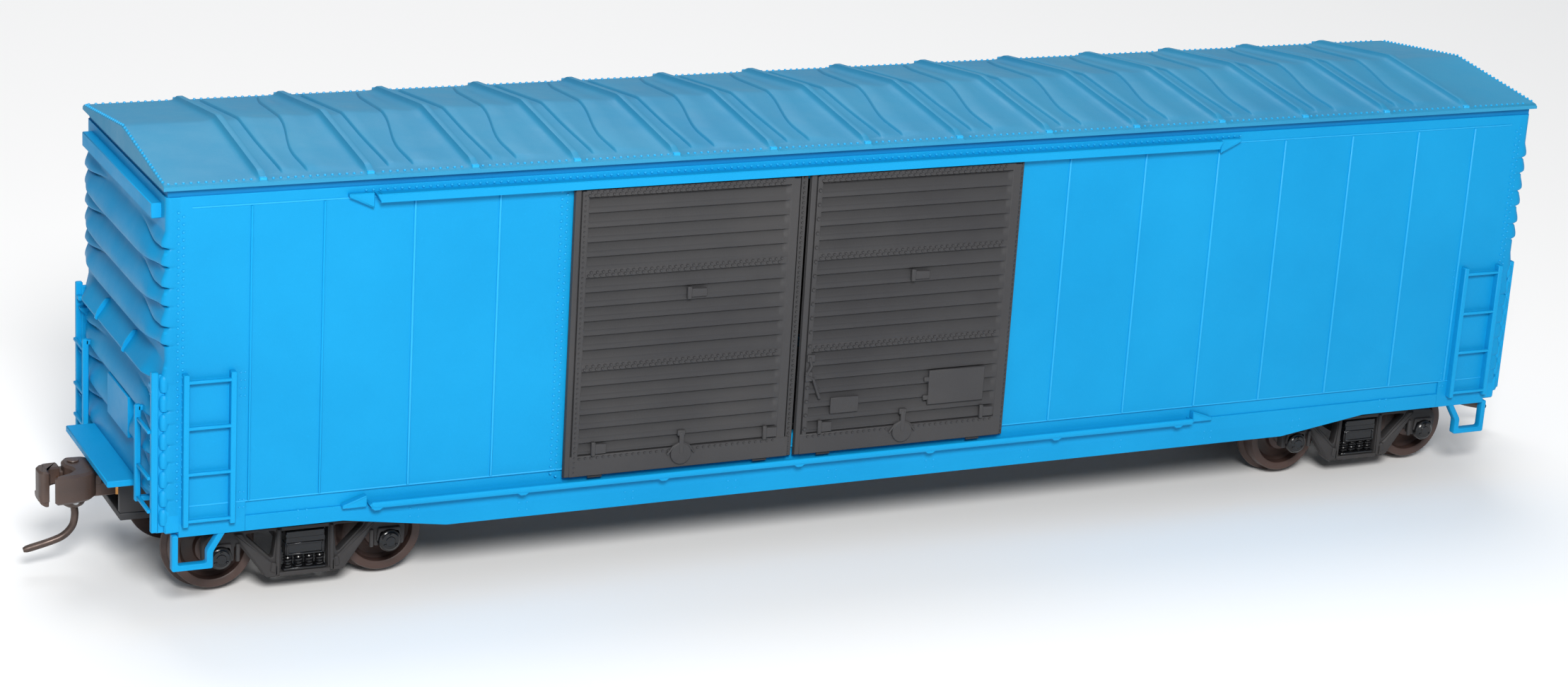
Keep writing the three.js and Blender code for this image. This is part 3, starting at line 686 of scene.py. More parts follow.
def door_rails(shape):
    """Hooded upper track, lower channel with small clips, and the wedge-shaped end stops."""
    x0, x1 = -65.6, 42.0
    out = -TRACK_OUT
    hood = [(FACE + 0.1, 48.2), (out + 0.1, 48.2), (out, 48.1), (out, 47.25), (out + 0.2, 47.2),
            (out + 0.2, 47.55), (FACE + 0.1, 47.6)]
    shape.prism(hood, 0, x0 + 0.45, x1 - 0.45)
    channel = [(FACE + 0.1, 12.02), (out + 0.25, 11.98), (out + 0.25, 12.3), (out + 0.18, 12.4),
               (out + 0.06, 12.36), (out, 12.2), (out, 11.85), (out + 0.1, 11.68), (FACE + 0.1, 11.65)]
    shape.prism(channel, 0, x0 + 0.3, x1 - 0.3)
    for x, way in ((x0, -1), (x1, 1)):
        hood_nose = [(x, 48.2), (x - way * 0.5, 48.2), (x - way * 0.5, 47.3)]
        channel_nose = rounded([(x, 12.1), (x - way * 0.35, 12.35), (x - way * 0.35, 11.7)], 0.15, 3)
        for nose in (hood_nose, channel_nose):
            shape.prism(nose, 1, FACE + 0.1, out + 0.02, 0.05)
    clip = [(-0.75, 0.35), (0.75, 0.35), (0.3, 0.0), (-0.3, 0.0)]
    for k in range(7):
        x = x0 + 0.95 + k * 17.4
        shape.prism([(x + dx, 11.4 + dz) for dx, dz in clip], 1, FACE + 0.05, out + 0.05, 0.06)
    for x, way in ((x0, -1), (x1, 1)):
        base, tip = x + way * 0.1, x + way * 2.95
        upper = [(base, 48.25), (tip, 48.25), (tip, 47.85), (base, 46.5)]
        lower = [(base, 11.75), (tip, 11.75), (tip, 12.15), (base, 13.15)]
        for wedge in (upper, lower):
            shape.prism(rounded(wedge, 0.16, 3), 1, FACE + 0.1, FACE - 0.75, 0.1)


def side_ladder(shape, centre):
    """Two stiles and four rungs."""
    x0, x1 = centre - 3.0, centre + 3.0
    for x in (x0 + 0.05, x1 - 0.7):
        shape.box(x, x + 0.65, FACE - 0.9, FACE + 0.15, 11.5, 29.1, 0.08)
    for z in (28.2, 22.9, 17.6, 12.15):
        shape.box(x0 + 0.5, x1 - 0.5, FACE - 0.88, FACE - 0.45, z - 0.2, z + 0.2, 0.1)


def stirrup(shape, way):
    """The bent step under a corner."""
    band = [(87.68, 10.3), (87.0, 10.3), (87.0, 6.72), (83.78, 6.72), (83.78, 8.1), (82.4, 10.3),
            (81.6, 10.3), (83.05, 7.95), (83.05, 6.02), (87.68, 6.02)]
    points = rounded([(way * x, z) for x, z in band], 0.25, 3)
    plate(shape, points, [], FACE + 0.1, FACE + 1.1, 0.1)


def build_side(side):
    turn = side == "right"
    shape = Shape()
    side_sheets(shape)
    door_rails(shape)
    for way in (-1, 1):
        side_ladder(shape, way * LADDER_X)
        stirrup(shape, way)
    shape.piece(f"side_{side}", BLUE, "carbody", ["body_shell"], turn)
    trim = Shape()
    side_trim(trim)
    # the trim is drawn in the lighter blue, a painted highlight
    trim.piece(f"side_trim_{side}", HIGHLIGHT_BLUE, "carbody", ["body_shell"], turn, "body_blue")


# ---- ends, drawn at the +X end ----

RIB_LEVELS = [42.3, 37.9, 33.5, 24.5, 20.1, 15.7]
DART_LEVELS = [44.5, 40.1, 35.7, 26.2, 22.3, 17.9]
CORNER_R = 0.6
RIB_RISE = 1.12
CREASE_DEPTH = 0.4
DART_RISE = 0.6
ROW_STEP = 0.11  # height between two rows of points of the pressed end


def end_path():
    """(x, y, normal x, normal y, distance from the middle) round the end, side to side."""
    half = []
    flat = SIDE_Y - CORNER_R
    for k in range(34):
        y = flat * k / 33
        half.append((END_X, y, 1.0, 0.0, y))
    for k in range(1, 9):
        a = math.pi / 2 * k / 8
        half.append((END_X - CORNER_R * (1 - math.cos(a)), flat + CORNER_R * math.sin(a),
                     math.cos(a), math.sin(a), flat + CORNER_R * a))
    bend = flat + CORNER_R * math.pi / 2
    for d in (0.15, 0.3, 0.5, 0.75, 1.05):
        half.append((END_X - CORNER_R - d, SIDE_Y, 0.0, 1.0, bend + d))
    return [(x, -y, nx, -ny, u) for x, y, nx, ny, u in half[:0:-1]] + half


def pressed(t):
    """A pressed rib's section, from 0 at its upper foot to 1 at the crease below it."""
    if t <= 0 or t >= 1:
        return 0.0
    if t < 0.78:
        return math.sin(math.pi / 2 * t / 0.78) ** 1.4
    return math.cos(math.pi / 2 * (t - 0.78) / 0.22) ** 0.4


def end_relief(u, z):
    """How far the pressed end stands out, u along it from the middle and z up."""
    u = abs(u)
    fade = 1 - smoothstep(u, 17.35, 18.3)
    sink = smoothstep(u, 8.0, 16.5)
    relief = crease = 0.0
    for level in RIB_LEVELS:
        top, foot = level + 2.15 - 1.35 * sink, level - 1.95 + 0.75 * sink
        rib = RIB_RISE * (1 - 0.62 * smoothstep(u, 12.5, 16.8))
        relief = max(relief, rib * pressed((top - z) / (top - foot)))
        crease = max(crease, math.exp(-((z - foot) / 0.13) ** 2))
    if u > 6.0:
        grow = smoothstep(u, 6.0, 15.5)
        for level in DART_LEVELS:
            top, foot = level + 0.1 + 0.5 * grow, level - 0.3 - 1.05 * grow
            dart = DART_RISE * grow * (1 - 0.3 * smoothstep(u, 14, 16.8))
            relief = max(relief, dart * pressed((top - z) / (top - foot)))
            crease = max(crease, grow * math.exp(-((z - foot) / 0.13) ** 2))
    taper = smoothstep(u, 12.5, 17.2)
    ledge = linear_step(30.9 - 0.5 * taper - z, 0, 2.4) * smoothstep(z, 27.3 + 0.5 * taper, 28.4)
    relief = max(relief, 1.7 * (1 - 0.72 * taper) * ledge)
    relief = max(relief - CREASE_DEPTH * crease, -CREASE_DEPTH)
    return relief * fade * smoothstep(45.6 - z, 0, 0.4) * smoothstep(z, 12.7, 13.6)


def end_ladder(shape, side):
    """Two stiles and three rungs at one corner; side is 1 at +Y and -1 at -Y."""
    def bar(x0, x1, y0, y1, z0, z1, c=0.1):
        shape.box(x0, x1, side * y0, side * y1, z0, z1, c)
    bar(89.3, 90.08, 16.3, 16.98, 10.9, 29.4)
    bar(SHEET_END, 89.5, 16.1, 16.6, 10.7, 29.0)
    bar(89.85, 90.55, 11.3, 11.95, 12.8, 24.1, 0.12)
    for z in (23.7, 13.1):
        bar(END_X - 0.3, 90.2, 11.3, 11.95, z - 0.3, z + 0.3)
    for z in (22.5, 17.15, 13.3):
        bar(89.95, 90.4, 11.6, 16.6, z - 0.2, z + 0.2)
    bar(89.4, 90.05, 15.4, 16.6, 27.4, 27.95)
    g0, g1 = sorted((side * 15.2, side * 16.4))
    for z in (26.6, 21.3, 16.0):
        shape.prism([(END_X - 0.3, z), (89.9, z), (89.8, z - 0.3), (END_X - 0.3, z - 1.7)], 1, g0, g1)


def corner_pillows(shape, side):
    """The stack of rounded shells between the corner post and the ladder's stile."""
    profile = [(0, 1.02), (0.4, 0.97), (0.58, 0.75), (0.64, 0.3), (0.63, -0.45), (0.52, -0.85),
               (0.3, -1.0), (0, -1.02)]
    for k in range(8):
        shape.lathe(profile, (END_X - 0.02, side * 16.42, 27.9 - 2.2 * k), 2, 20)


def build_end(end):
    turn = end == "a"
    shape = Shape()
    path = end_path()
    rows = []
    for z in np.arange(12.65, TOP + 0.01, ROW_STEP):
        rows.append([(x + nx * end_relief(u, z), y + ny * end_relief(u, z) * 0.16, z)
                     for x, y, nx, ny, u in path])
    inside = SIDE_Y - 1.15
    shape.sheet(rows, lambda p: (END_X - 1.6, min(max(p[1], -inside), inside), p[2]))
    for side in (-1, 1):
        shape.box(SHEET_END - 0.9, END_X, side * 15.85, side * 16.98, 10.6, 13.4, 0.2)
        corner_pillows(shape, side)
        if turn or side > 0:
            end_ladder(shape, side)
        else:  # the photo shows this corner as a straight edge, with no ladder
            shape.box(END_X - 0.1, END_X + 0.6, -16.95, -16.1, 12.0, 29.2, 0.1)
    shape.box(END_X - 0.2, 89.68, -15, 15, 46.1, 47.8, 0.1)
    shape.box(END_X - 0.2, 89.82, -3, 6, 18.1, 22.9, 0.06)
    for y in (-5.9, 5.9):
        fin = [(88.7, 30.7), (89.3, 30.7), (90.25, 29.5, 0.6), (90.6, 28.4), (90.1, 28.1), (88.7, 28.2)]
        shape.prism(rounded(fin, 0.2, 4), 1, y - 0.14, y + 0.14, 0.04)
    shape.piece(f"end_{end}", BLUE, "carbody", ["body_shell"], turn)


def build_platform(end):
    """The shelf above the coupler."""
    lo, hi = node_box("end_platform_b")
    shape = Shape()
    shape.box(lo[0], hi[0], lo[1], hi[1], lo[2], 14.5, 0.1)
    for y in (-5.2, 4.2):
        shape.box(lo[0] + 0.1, lo[0] + 0.9, y - 0.45, y + 0.45, 14.4, hi[2], 0.12)
    shape.piece(f"platform_{end}", BLUE, "carbody", [f"end_platform_{end}"], end == "a")


# ---- doors, drawn in place on the -Y side ----

PANEL_BREAKS = (26.0, 37.2)
DOOR_PANEL_FOOT = 15.2
DOOR_PANEL_TOP = 46.55
WELD_PITCH = 0.74
POCKET_PITCH = 1.72
POCKET_DEPTH = 0.3


def door_relief(z, z0, z1):
    """Depth of the pressed pockets of one door panel, 0 at the face and 1 at the deepest:
    each is cut square under its upper edge and slopes back out to its lower edge."""
    if z > z1 or z < z0:
        return 0.0
    t = ((z1 - z) / POCKET_PITCH) % 1.0
    return min(t / 0.09, 1.0) * (1 - smoothstep(t, 0.16, 0.84))


def door_field(shape, x0, x1, back, face):
    """The pressed panels of a door, in one skin."""
    xs = [x0, x0 + 0.06, x0 + 0.14, x1 - 0.7, x1 - 0.4, x1 - 0.1, x1]
    gain = [0, 0, 1, 1, 0.75, 0.1, 0]
    levels = []
    for low, high in zip((DOOR_PANEL_FOOT, *PANEL_BREAKS), (*PANEL_BREAKS, DOOR_PANEL_TOP)):
        low, high = low + 0.45, high - 0.45
        levels += [(z, door_relief(z, low, high))
                   for z in np.arange(high, low - 0.1, -POCKET_PITCH / 20)]
    rows = [[(x, face + POCKET_DEPTH * h * g, z) for x, g in zip(xs, gain)] for z, h in levels]
    rows.sort(key=lambda line: -line[0][2])
    shape.sheet(rows, lambda p: (p[0], back - 0.05, p[2]))


def weld_bar(shape, x0, x1, z, face):
    """A flat bar between two panels with two staggered rows of weld heads."""
    shape.box(x0, x1, face, face + 0.4, z - 0.44, z + 0.44, 0.05)
    for k in range(int((x1 - x0 - 0.5) / WELD_PITCH)):
        for dx, dz in ((0.0, -0.2), (0.3, 0.17)):
            shape.dome(x0 + 0.35 + k * WELD_PITCH + dx, face, z + dz, 0.19, 0.17)


def build_door(kind, side):
    """One door: its sheet, pressed panels, edge bars, weld rows, fittings and feet."""
    x0, x1 = DOOR_X[kind]
    back, face, front = FACE - 0.25, FACE - 0.55, FACE - 0.86
    shape = Shape()

    def bar(a, b, rise, z0, z1, c):
        shape.box(a, b, front - rise, face + 0.1, z0, z1, c)
    shape.box(x0, x1, face, back, 12.75, 47.4, 0.08)
    left, right = (1.6, 2.2) if kind == "aux" else (1.4, 1.6)
    door_field(shape, x0 + left, x1 - right, back, front)
    for a, b in ((x0 + 0.85, x0 + left + 0.03), (x1 - right - 0.03, x1 - right + 1.1)):
        bar(a, b, 0.03, 13.0, 46.9, 0.06)
    bar(x0 + 0.03, x0 + 0.72, -0.02, 12.85, 47.3, 0.08)
    bar(x0 + 0.6, x1 - 0.6, 0.05, 12.85, 15.35, 0.08)
    weld_bar(shape, x0 + left - 0.3, x1 - right + 0.3, DOOR_PANEL_TOP + 0.05, front - 0.02)
    row(shape, 15.05, x0 + left + 0.2, x1 - right - 0.2, WELD_PITCH, 0.17, 0.15, front - 0.05)
    for z in PANEL_BREAKS:
        weld_bar(shape, x0 + left, x1 - right, z, front - 0.02)
    if kind == "aux":
        column(shape, x0 + 1.2, 13.4, 46.8, 0.6, 0.13, 0.1, front - 0.03)
        bar(x1 - 0.98, x1 - 0.84, 0.02, 13.0, 47.2, 0.04)
        column(shape, x1 - 0.45, 13.2, 47.2, 0.6, 0.17, 0.16, face)
    else:
        column(shape, x0 + 1.14, 16.0, 46.0, POCKET_PITCH, 0.25, 0.2, front - 0.03)
        column(shape, x1 - 0.25, 13.2, 47.2, 0.6, 0.15, 0.14, face)
    door_fittings(shape, kind, x0, x1, front)
    for x in (x0 + 4.0, x1 - 4.0):
        shape.box(x - 0.9, x + 0.9, face + 0.02, back - 0.05, 12.45, 12.85, 0.06)
    shape.piece(f"{kind}_door_skin_{side}", DOOR, f"{kind}_door_body_{side}",
                [f"{kind}_door_{side}"], side == "right")


def door_fittings(shape, kind, x0, x1, front):
    """Placard boards, latch lugs, the roller gear in the middle and the lever by the gap."""
    def lug(a, b, rise, z0, z1, c):
        shape.box(a, b, front - rise, front, z0, z1, c)
    mid = (x0 + x1) / 2
    top = front - 0.22
    lug(mid - 0.28, mid + 0.28, 0.42, 33.4, 34.9, 0.08)
    lug(mid + 0.2, mid + 2.2, 0.3, 33.6, 34.6, 0.08)
    for x in (mid - 11.0, mid + 10.6):
        lug(x - 0.25, x + 0.25, 0.38, 15.3, 17.0, 0.08)
        lug(x + 0.2, x + 1.6, 0.25, 15.5, 16.7, 0.06)
    shape.rod((mid, front, 14.6), (mid, front - 0.4, 14.6), 1.3, 24, 0.08)
    lug(mid - 0.3, mid + 0.3, 0.44, 14.6, 17.2, 0.1)
    lug(mid - 0.55, mid + 0.4, 0.4, 16.8, 17.5, 0.12)
    for way in (-1, 1):
        shape.tube([(mid + way * 0.2, top, 15.9), (mid + way * 1.0, top, 15.5),
                    (mid + way * 1.7, top, 14.6)], 0.14, 8)
    if kind == "main":
        lug(4.0, 11.5, 0.36, 17.7, 22.0, 0.08)
        for z in (18.6, 20.9):
            lug(3.4, 4.1, 0.3, z - 0.3, z + 0.3, 0.08)
        lug(-8.9, -5.2, 0.3, 17.7, 19.7, 0.08)
        lever = [(-12.0, 25.0), (-11.7, 23.9), (-12.3, 22.8), (-11.4, 22.3), (-10.9, 21.0),
                 (-10.4, 19.8)]
        shape.tube([(x, top, z) for x, z in lever], 0.2, 8)
        lug(-12.3, -11.3, 0.3, 24.4, 25.3, 0.1)
        lug(-12.4, -11.5, 0.3, 22.0, 23.2, 0.1)


# ---- trucks, drawn about their own centre, then moved to the +X truck ----


def moved(shape, dx):
    shape.verts = [(x + dx, y, z) for x, y, z in shape.verts]
    return shape


def build_sideframe(end, side):
    """A cast frame with its openings, raised ribs and bearing adapters, and the glossy caps."""
    outer = [
        (-4.3, 2.3), (4.3, 2.3), (4.9, 2.8), (6.6, 5.2), (7.6, 6.5), (8.15, 6.5), (8.2, 4.75),
        (8.8, 4.75), (8.85, 6.0), (9.3, 6.9, 0.8), (10.5, 6.9, 0.8), (11.0, 6.0), (11.05, 4.75),
        (11.75, 4.75), (11.9, 7.2, 0.7), (11.1, 8.15, 0.8), (8.6, 8.3), (3.4, 8.3), (2.9, 8.3),
    ]
    outline = rounded(outer, 0.22, 3)
    outline += mirrored(outline)
    outline = [p for i, p in enumerate(outline) if math.dist(p, outline[i - 1]) > 1e-3]
    hole = rounded([(3.75, 4.5, 0.5), (7.05, 7.85, 0.5), (3.3, 7.9, 0.6)], 0.5, 5)
    window = rounded([(-2.75, 2.85), (2.75, 2.85), (2.7, 7.85), (-2.7, 7.85)], 0.15, 3)
    holes = [hole, mirrored(hole), window]
    shape = Shape()
    y0, y1 = -12.55, -11.3
    plate(shape, outline, holes, y0, y1, 0.14)
    for s in (-1, 1):
        arm = rounded([(s * 3.1, 2.45), (s * 4.5, 2.45), (s * 7.5, 6.7), (s * 8.4, 8.1), (s * 7.3, 8.1),
                       (s * 6.9, 7.3), (s * 3.95, 4.3), (s * 3.1, 3.9)], 0.3, 3)
        shape.prism(arm, 1, y0 + 0.1, y0 - 0.25, 0.16)
        post = rounded([(s * 2.95, 2.5), (s * 3.5, 2.5), (s * 3.3, 8.1), (s * 2.85, 8.1)], 0.1, 2)
        shape.prism(post, 1, y0 + 0.1, y0 - 0.25, 0.12)
        shape.prism(rounded([(s * 3.5, 2.9), (s * 4.1, 3.1), (s * 3.9, 4.2), (s * 3.4, 4.1)], 0.15, 2),
                    1, y0, y0 - 0.42, 0.1)
        shape.box(s * 7.6, s * 8.05, y0 - 0.3, y0 + 0.1, 4.75, 6.9, 0.1)
        bearing_adapter(shape, s * HALF_BASE, y0)
    shape.box(-3.0, 3.0, y0 - 0.2, y0 + 0.1, 2.35, 2.85, 0.12)
    shape.box(-2.8, 2.8, y0 - 0.1, y0 + 0.1, 7.8, 8.25, 0.1)
    caps = Shape()
    for s in (-1, 1):
        bearing_cap(caps, s * HALF_BASE)
    turn = (end == "a") != (side == "left")
    shift = TRUCK_X if (end == "b") != turn else -TRUCK_X
    node = f"sideframe_{end}_{side}"
    moved(shape, shift).piece(f"{node}_skin", SIDEFRAME, f"truck_{end}", [node], turn)
    moved(caps, shift).piece(f"{node}_caps", GLOSS, f"truck_{end}", [node], turn)


def bearing_adapter(shape, x, face):
    """The saddle between a bearing and its pedestal."""
    adapter = rounded([(x - 1.5, 5.5), (x - 1.3, 7.0), (x + 1.3, 7.0), (x + 1.5, 5.5), (x + 1.3, 5.4),
                       (x + 1.0, 6.5), (x - 1.0, 6.5), (x - 1.3, 5.4)], 0.15, 2)
    shape.prism(adapter, 1, face + 0.1, face - 0.35, 0.1)


def bearing_cap(shape, x):
    """A round end cap with three bolts."""
    tip = node_box("sideframe_b_left")[1][1]
    shape.lathe([(0, -tip), (0.55, -tip), (0.62, -tip + 0.08), (0.98, -tip + 0.12), (1.15, -tip + 0.3),
                 (1.28, -tip + 0.34), (1.36, -tip + 0.5), (1.36, -11.3), (0, -11.3)],
                (x, 0, AXLE_Z), 1, 28)
    for k in range(3):
        a = math.radians(90 + 120 * k)
        bolt = (x + 0.8 * math.cos(a), -tip + 0.1, AXLE_Z + 0.8 * math.sin(a))
        shape.dome(*bolt, 0.17, 0.12)


def coil(shape, x, y, z0, z1, r, wire, turns, sides=6, steps=12):
    """A coil spring standing upright."""
    path = []
    for k in range(int(turns * steps) + 1):
        t = k / (turns * steps)
        a = 2 * math.pi * turns * t
        path.append((x + r * math.cos(a), y + r * math.sin(a), z0 + (z1 - z0) * t))
    return shape.tube(path, wire, sides)


def build_bolster(end):
    """The cross beam with its centre bowl, and a spring pack at each side."""
    shape = Shape()
    beam = [(-12.7, 5.2), (12.7, 5.2), (12.75, 6.9), (4.5, 7.4), (-4.5, 7.4), (-12.75, 6.9)]
    shape.prism(beam, 0, -2.25, 2.25)
    shape.lathe([(1.28, 5.0), (3.2, 5.0), (3.4, 5.2), (3.4, 8.15), (3.25, 8.3), (1.28, 8.3)],
                (0, 0, 0), 2, 40)
    for s in (-1, 1):
        y, a, b = s * 12.05, s * 11.35, s * 12.72
        shape.box(-2.5, 2.5, a, b, 2.92, 3.25, 0.08)
        shape.box(-2.35, 2.35, a, b, 4.75, 6.35, 0.1)
        f0, f1 = s * 12.6, s * 12.85
        for z in (6.05, 4.8):
            shape.box(-2.1, 2.1, f0, f1, z, z + 0.25, 0.06)
        for x in (-2.05, 2.05):
            shape.box(x - 0.13, x + 0.13, f0, f1, 4.8, 6.3, 0.06)
        shape.box(-2.3, 2.3, a, b, 6.5, 7.7, 0.12)
        for x in (-1.86, -0.62, 0.62, 1.86):
            shape.rod((x, y, 3.2), (x, y, 4.8), 0.32, 10)
            coil(shape, x, y, 3.3, 4.75, 0.42, 0.15, 4.2)
    moved(shape, TRUCK_X)
    shape.piece(f"bolster_skin_{end}", GLOSS, f"truck_{end}", [f"truck_bolster_{end}"], end == "a")


def build_truck_screw(end):
    """A cross-headed screw, seen from below."""
    shape = Shape()
    shape.lathe([(0, 4.0), (1.7, 4.02), (2.05, 4.3), (2.1, 4.6), (2.1, 5.15), (1.2, 5.15),
                 (1.2, 8.36), (0.9, 8.4), (0.9, 12.5), (0, 12.6)], (TRUCK_X, 0, 0), 2, 36)
    for dx, dy in ((0.16, 1.3), (1.3, 0.16)):
        shape.box(TRUCK_X - dx, TRUCK_X + dx, -dy, dy, 3.97, 4.2, 0.03)
    shape.piece(f"screw_skin_{end}", STEEL, "carbody", [f"truck_screw_{end}"], end == "a")


def build_wheelset(end, place):
    """Two flanged wheels on a steel axle."""
    body = f"wheelset_{end}_{place}"
    sign = -1 if place == "inner" else 1
    at = np.array((TRUCK_X + sign * HALF_BASE, 0, AXLE_Z))
    turn = end == "a"
    profile = [
        (1.22, 0.0), (2.0, 0.0), (2.15, 0.25), (3.6, 0.3), (3.85, 0.05), (5.1, 0.0), (5.36, 0.1),
        (5.45, 0.3), (5.38, 0.52), (4.98, 0.72), (4.86, 0.85), (4.76, 2.55), (4.66, 2.7), (3.95, 2.7),
        (3.78, 2.6), (3.68, 1.7), (3.3, 1.35), (2.5, 1.45), (2.1, 1.75), (1.95, 2.35), (1.8, 2.45),
        (1.22, 2.45),
    ]
    for side in (-1, 1):
        shape = Shape()
        points = [(r, side * (7.2 + y)) for r, y in profile]
        shape.lathe(points if side > 0 else points[::-1], at, 1, 72)
        name = "left" if side > 0 else "right"
        shape.piece(f"wheel_skin_{end}_{place}_{name}", WHEEL, body,
                    [f"wheel_{end}_{place}_{name}"], turn)
    axle = Shape()
    half = [(0, 12.4), (0.22, 12.3), (0.72, 11.5), (0.75, 10.7), (1.2, 10.0), (1.2, 6.0), (1.05, 5.2)]
    points = [(r, -y) for r, y in half] + [(r, y) for r, y in half[::-1]]
    axle.lathe(points, at, 1, 32)
    axle.piece(f"axle_skin_{end}_{place}", STEEL, body, [f"axle_{end}_{place}"], turn)


# ---- couplers, drawn at the +X end ----


def build_coupler(end):
    """The shank and the open jaw, then the knuckle, its pin and its small spring."""
    turn = end == "a"
    shape = Shape()
    shape.lathe([(1.27, 9.6), (2.0, 9.6), (2.1, 9.7), (2.1, 11.1), (2.0, 11.2), (1.27, 11.2)],
                (COUPLER_X, 0, 0), 2, 40)
    shape.box(COUPLER_X + 1.7, 93.2, -1.1, 1.1, 9.6, 11.2, 0.12)
    jaw = rounded([(92.0, -1.5), (92.6, -2.7, 0.6), (94.9, -2.9, 0.9), (95.5, -1.9, 0.5), (95.45, -0.2),
                   (94.9, 0.5), (94.7, 1.3), (95.5, 2.2), (97.3, 3.0), (97.25, 3.55), (95.3, 3.5, 0.8),
                   (93.2, 2.9, 0.9), (92.2, 1.6, 0.6)], 0.3, 4)
    for z in (13.2, 9.8):
        shape.prism(jaw, 2, 11.5, z, 0.28)
    web = rounded([(92.2, -1.4), (92.85, -2.4), (92.85, 0.2), (94.6, 0.4), (94.6, 1.4), (95.5, 2.3),
                   (97.2, 3.1), (97.1, 3.4), (95.2, 3.4), (93.2, 2.8), (92.3, 1.5)], 0.25, 3)
    shape.prism(web, 2, 10.4, 12.6)
    shape.box(91.3, 93.0, -1.2, 1.2, 10.8, 12.4, 0.3)
    shape.piece(f"coupler_skin_{end}", COUPLER, f"coupler_{end}", [f"coupler_body_{end}"], turn)
    build_knuckle(end, turn)
    build_pin(end, turn)
    spring = Shape()
    coil(spring, 0, 0, 0, 0.95, 0.33, 0.08, 4.5)
    spring.verts = [(95.25 + z, -0.3 + x, 11.5 + y) for x, y, z in spring.verts]
    spring.piece(f"knuckle_coil_{end}", BRONZE, f"coupler_{end}", [f"knuckle_spring_{end}"], turn)


def build_knuckle(end, turn):
    """The round hub, the arm, and the upright pulling face with its hooked lower lip."""
    shape = Shape()
    shape.lathe([(0.5, 10.72), (1.1, 10.72), (1.2, 10.85), (1.2, 12.15), (1.1, 12.28), (0.5, 12.28)],
                (KNUCKLE_X, KNUCKLE_Y, 0), 2, 28)
    arm = rounded([(94.1, -2.35), (95.8, -2.65, 0.6), (97.6, -2.4, 0.8), (98.3, -1.5, 0.6), (98.2, 0.6),
                   (97.3, 0.85, 0.4), (97.15, -0.4, 0.6), (96.3, -1.0, 0.6), (94.9, -0.6)], 0.3, 4)
    for z in (12.28, 10.72):
        shape.prism(arm, 2, 11.5, z, 0.12)
    bridge = rounded([(95.8, -2.4), (97.6, -2.3, 0.6), (98.2, -1.5), (98.2, 0.4), (97.3, 0.5),
                      (97.2, -0.5), (95.8, -0.6)], 0.25, 3)
    shape.prism(bridge, 2, 11.0, 12.9, 0.2)
    face = rounded([(97.35, 1.0, 0.2), (97.35, -1.7, 0.15), (98.05, -1.8, 0.5), (98.5, -1.2, 0.5),
                    (98.5, 0.55, 0.4), (98.15, 1.05, 0.3)], 0.25, 4)
    shape.prism(face, 2, 11.0, 13.0, 0.22)
    shape.prism(face, 2, 11.0, 9.3, 0.1)
    lip = rounded([(97.36, 10.0), (98.48, 10.0), (98.46, 9.2, 0.4), (97.75, 8.72, 0.2),
                   (97.4, 8.72)], 0.12, 3)
    shape.prism(lip, 1, -1.55, 0.85, 0.12)
    shape.piece(f"knuckle_skin_{end}", COUPLER, f"knuckle_part_{end}", [f"knuckle_{end}"], turn)


def hose_path():
    """The trip pin's centre line, smoothed through its guide points."""
    guide = [(KNUCKLE_X, 8.6), (94.05, 7.6), (94.0, 6.6), (94.3, 5.35), (95.3, 4.3), (96.9, 3.7),
             (99.88, 3.0)]
    points = []
    for i in range(len(guide) - 1):
        p = [np.array(guide[min(max(i + d, 0), len(guide) - 1)]) for d in (-1, 0, 1, 2)]
        for k in range(6):
            t = k / 6
            q = 0.5 * (2 * p[1] + (p[2] - p[0]) * t + (2 * p[0] - 5 * p[1] + 4 * p[2] - p[3]) * t * t
                       + (3 * p[1] - p[0] - 3 * p[2] + p[3]) * t ** 3)
            points.append((q[0], KNUCKLE_Y, q[1]))
    points.append((guide[-1][0], KNUCKLE_Y, guide[-1][1]))
    return points


def build_pin(end, turn):
    """The trip pin shaped like an air hose, its boss and its steel studs."""
    body, node = f"knuckle_part_{end}", f"trip_pin_{end}"
    shape = Shape()
    shape.tube(hose_path(), 0.43, 16, lambda t: 1 - 0.35 * smoothstep(t, 0.96, 1.0))
    shape.piece(f"hose_{end}", PIN, body, [node], turn)
    boss = Shape()
    boss.lathe([(0, 7.75), (0.75, 7.8), (1.2, 8.1), (1.5, 8.6), (1.5, 9.45), (1.4, 9.6), (0.48, 9.62),
                (0.48, 13.3), (0.7, 13.3), (0.65, 13.42), (0, 13.45)], (KNUCKLE_X, KNUCKLE_Y, 0), 2, 32)
    boss.piece(f"boss_{end}", COUPLER, body, [node], turn)
    stud = Shape()
    for way in (-1, 1):
        stud.rod((KNUCKLE_X, KNUCKLE_Y + way, 8.9), (KNUCKLE_X, KNUCKLE_Y + 1.7 * way, 8.9),
                 0.44, 16, 0.14)
    stud.piece(f"pin_head_{end}", STEEL, body, [node], turn)


# ---- plain CAD solids with softened edges ----


def soften(node, name, material, width):
    """Stands for a carbody node with the same form, its flats merged and its edges rounded."""
    mesh = frame["nodes"][node].data.copy()
    mesh.name = name
    obj = placed(name, mesh)
    weld = obj.modifiers.new("weld", "WELD")
    weld.merge_threshold = 0.000004
    flat = obj.modifiers.new("flat", "DECIMATE")
    flat.decimate_type = "DISSOLVE"
    flat.angle_limit = math.radians(2)
    edge = obj.modifiers.new("edge", "BEVEL")
    edge.width = width * MM
    edge.segments = 2
    edge.limit_method = "ANGLE"
    edge.angle_limit = math.radians(40)
    bpy.context.view_layer.update()
    graph = bpy.context.evaluated_depsgraph_get()
    made = bpy.data.meshes.new_from_object(obj.evaluated_get(graph))
    obj.modifiers.clear()
    obj.data = made
    made.materials.clear()
    made.materials.append(material)
    made.shade_smooth()
    made.set_sharp_from_angle(angle=SMOOTH_ANGLE)
    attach(obj, "carbody")
    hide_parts(node)


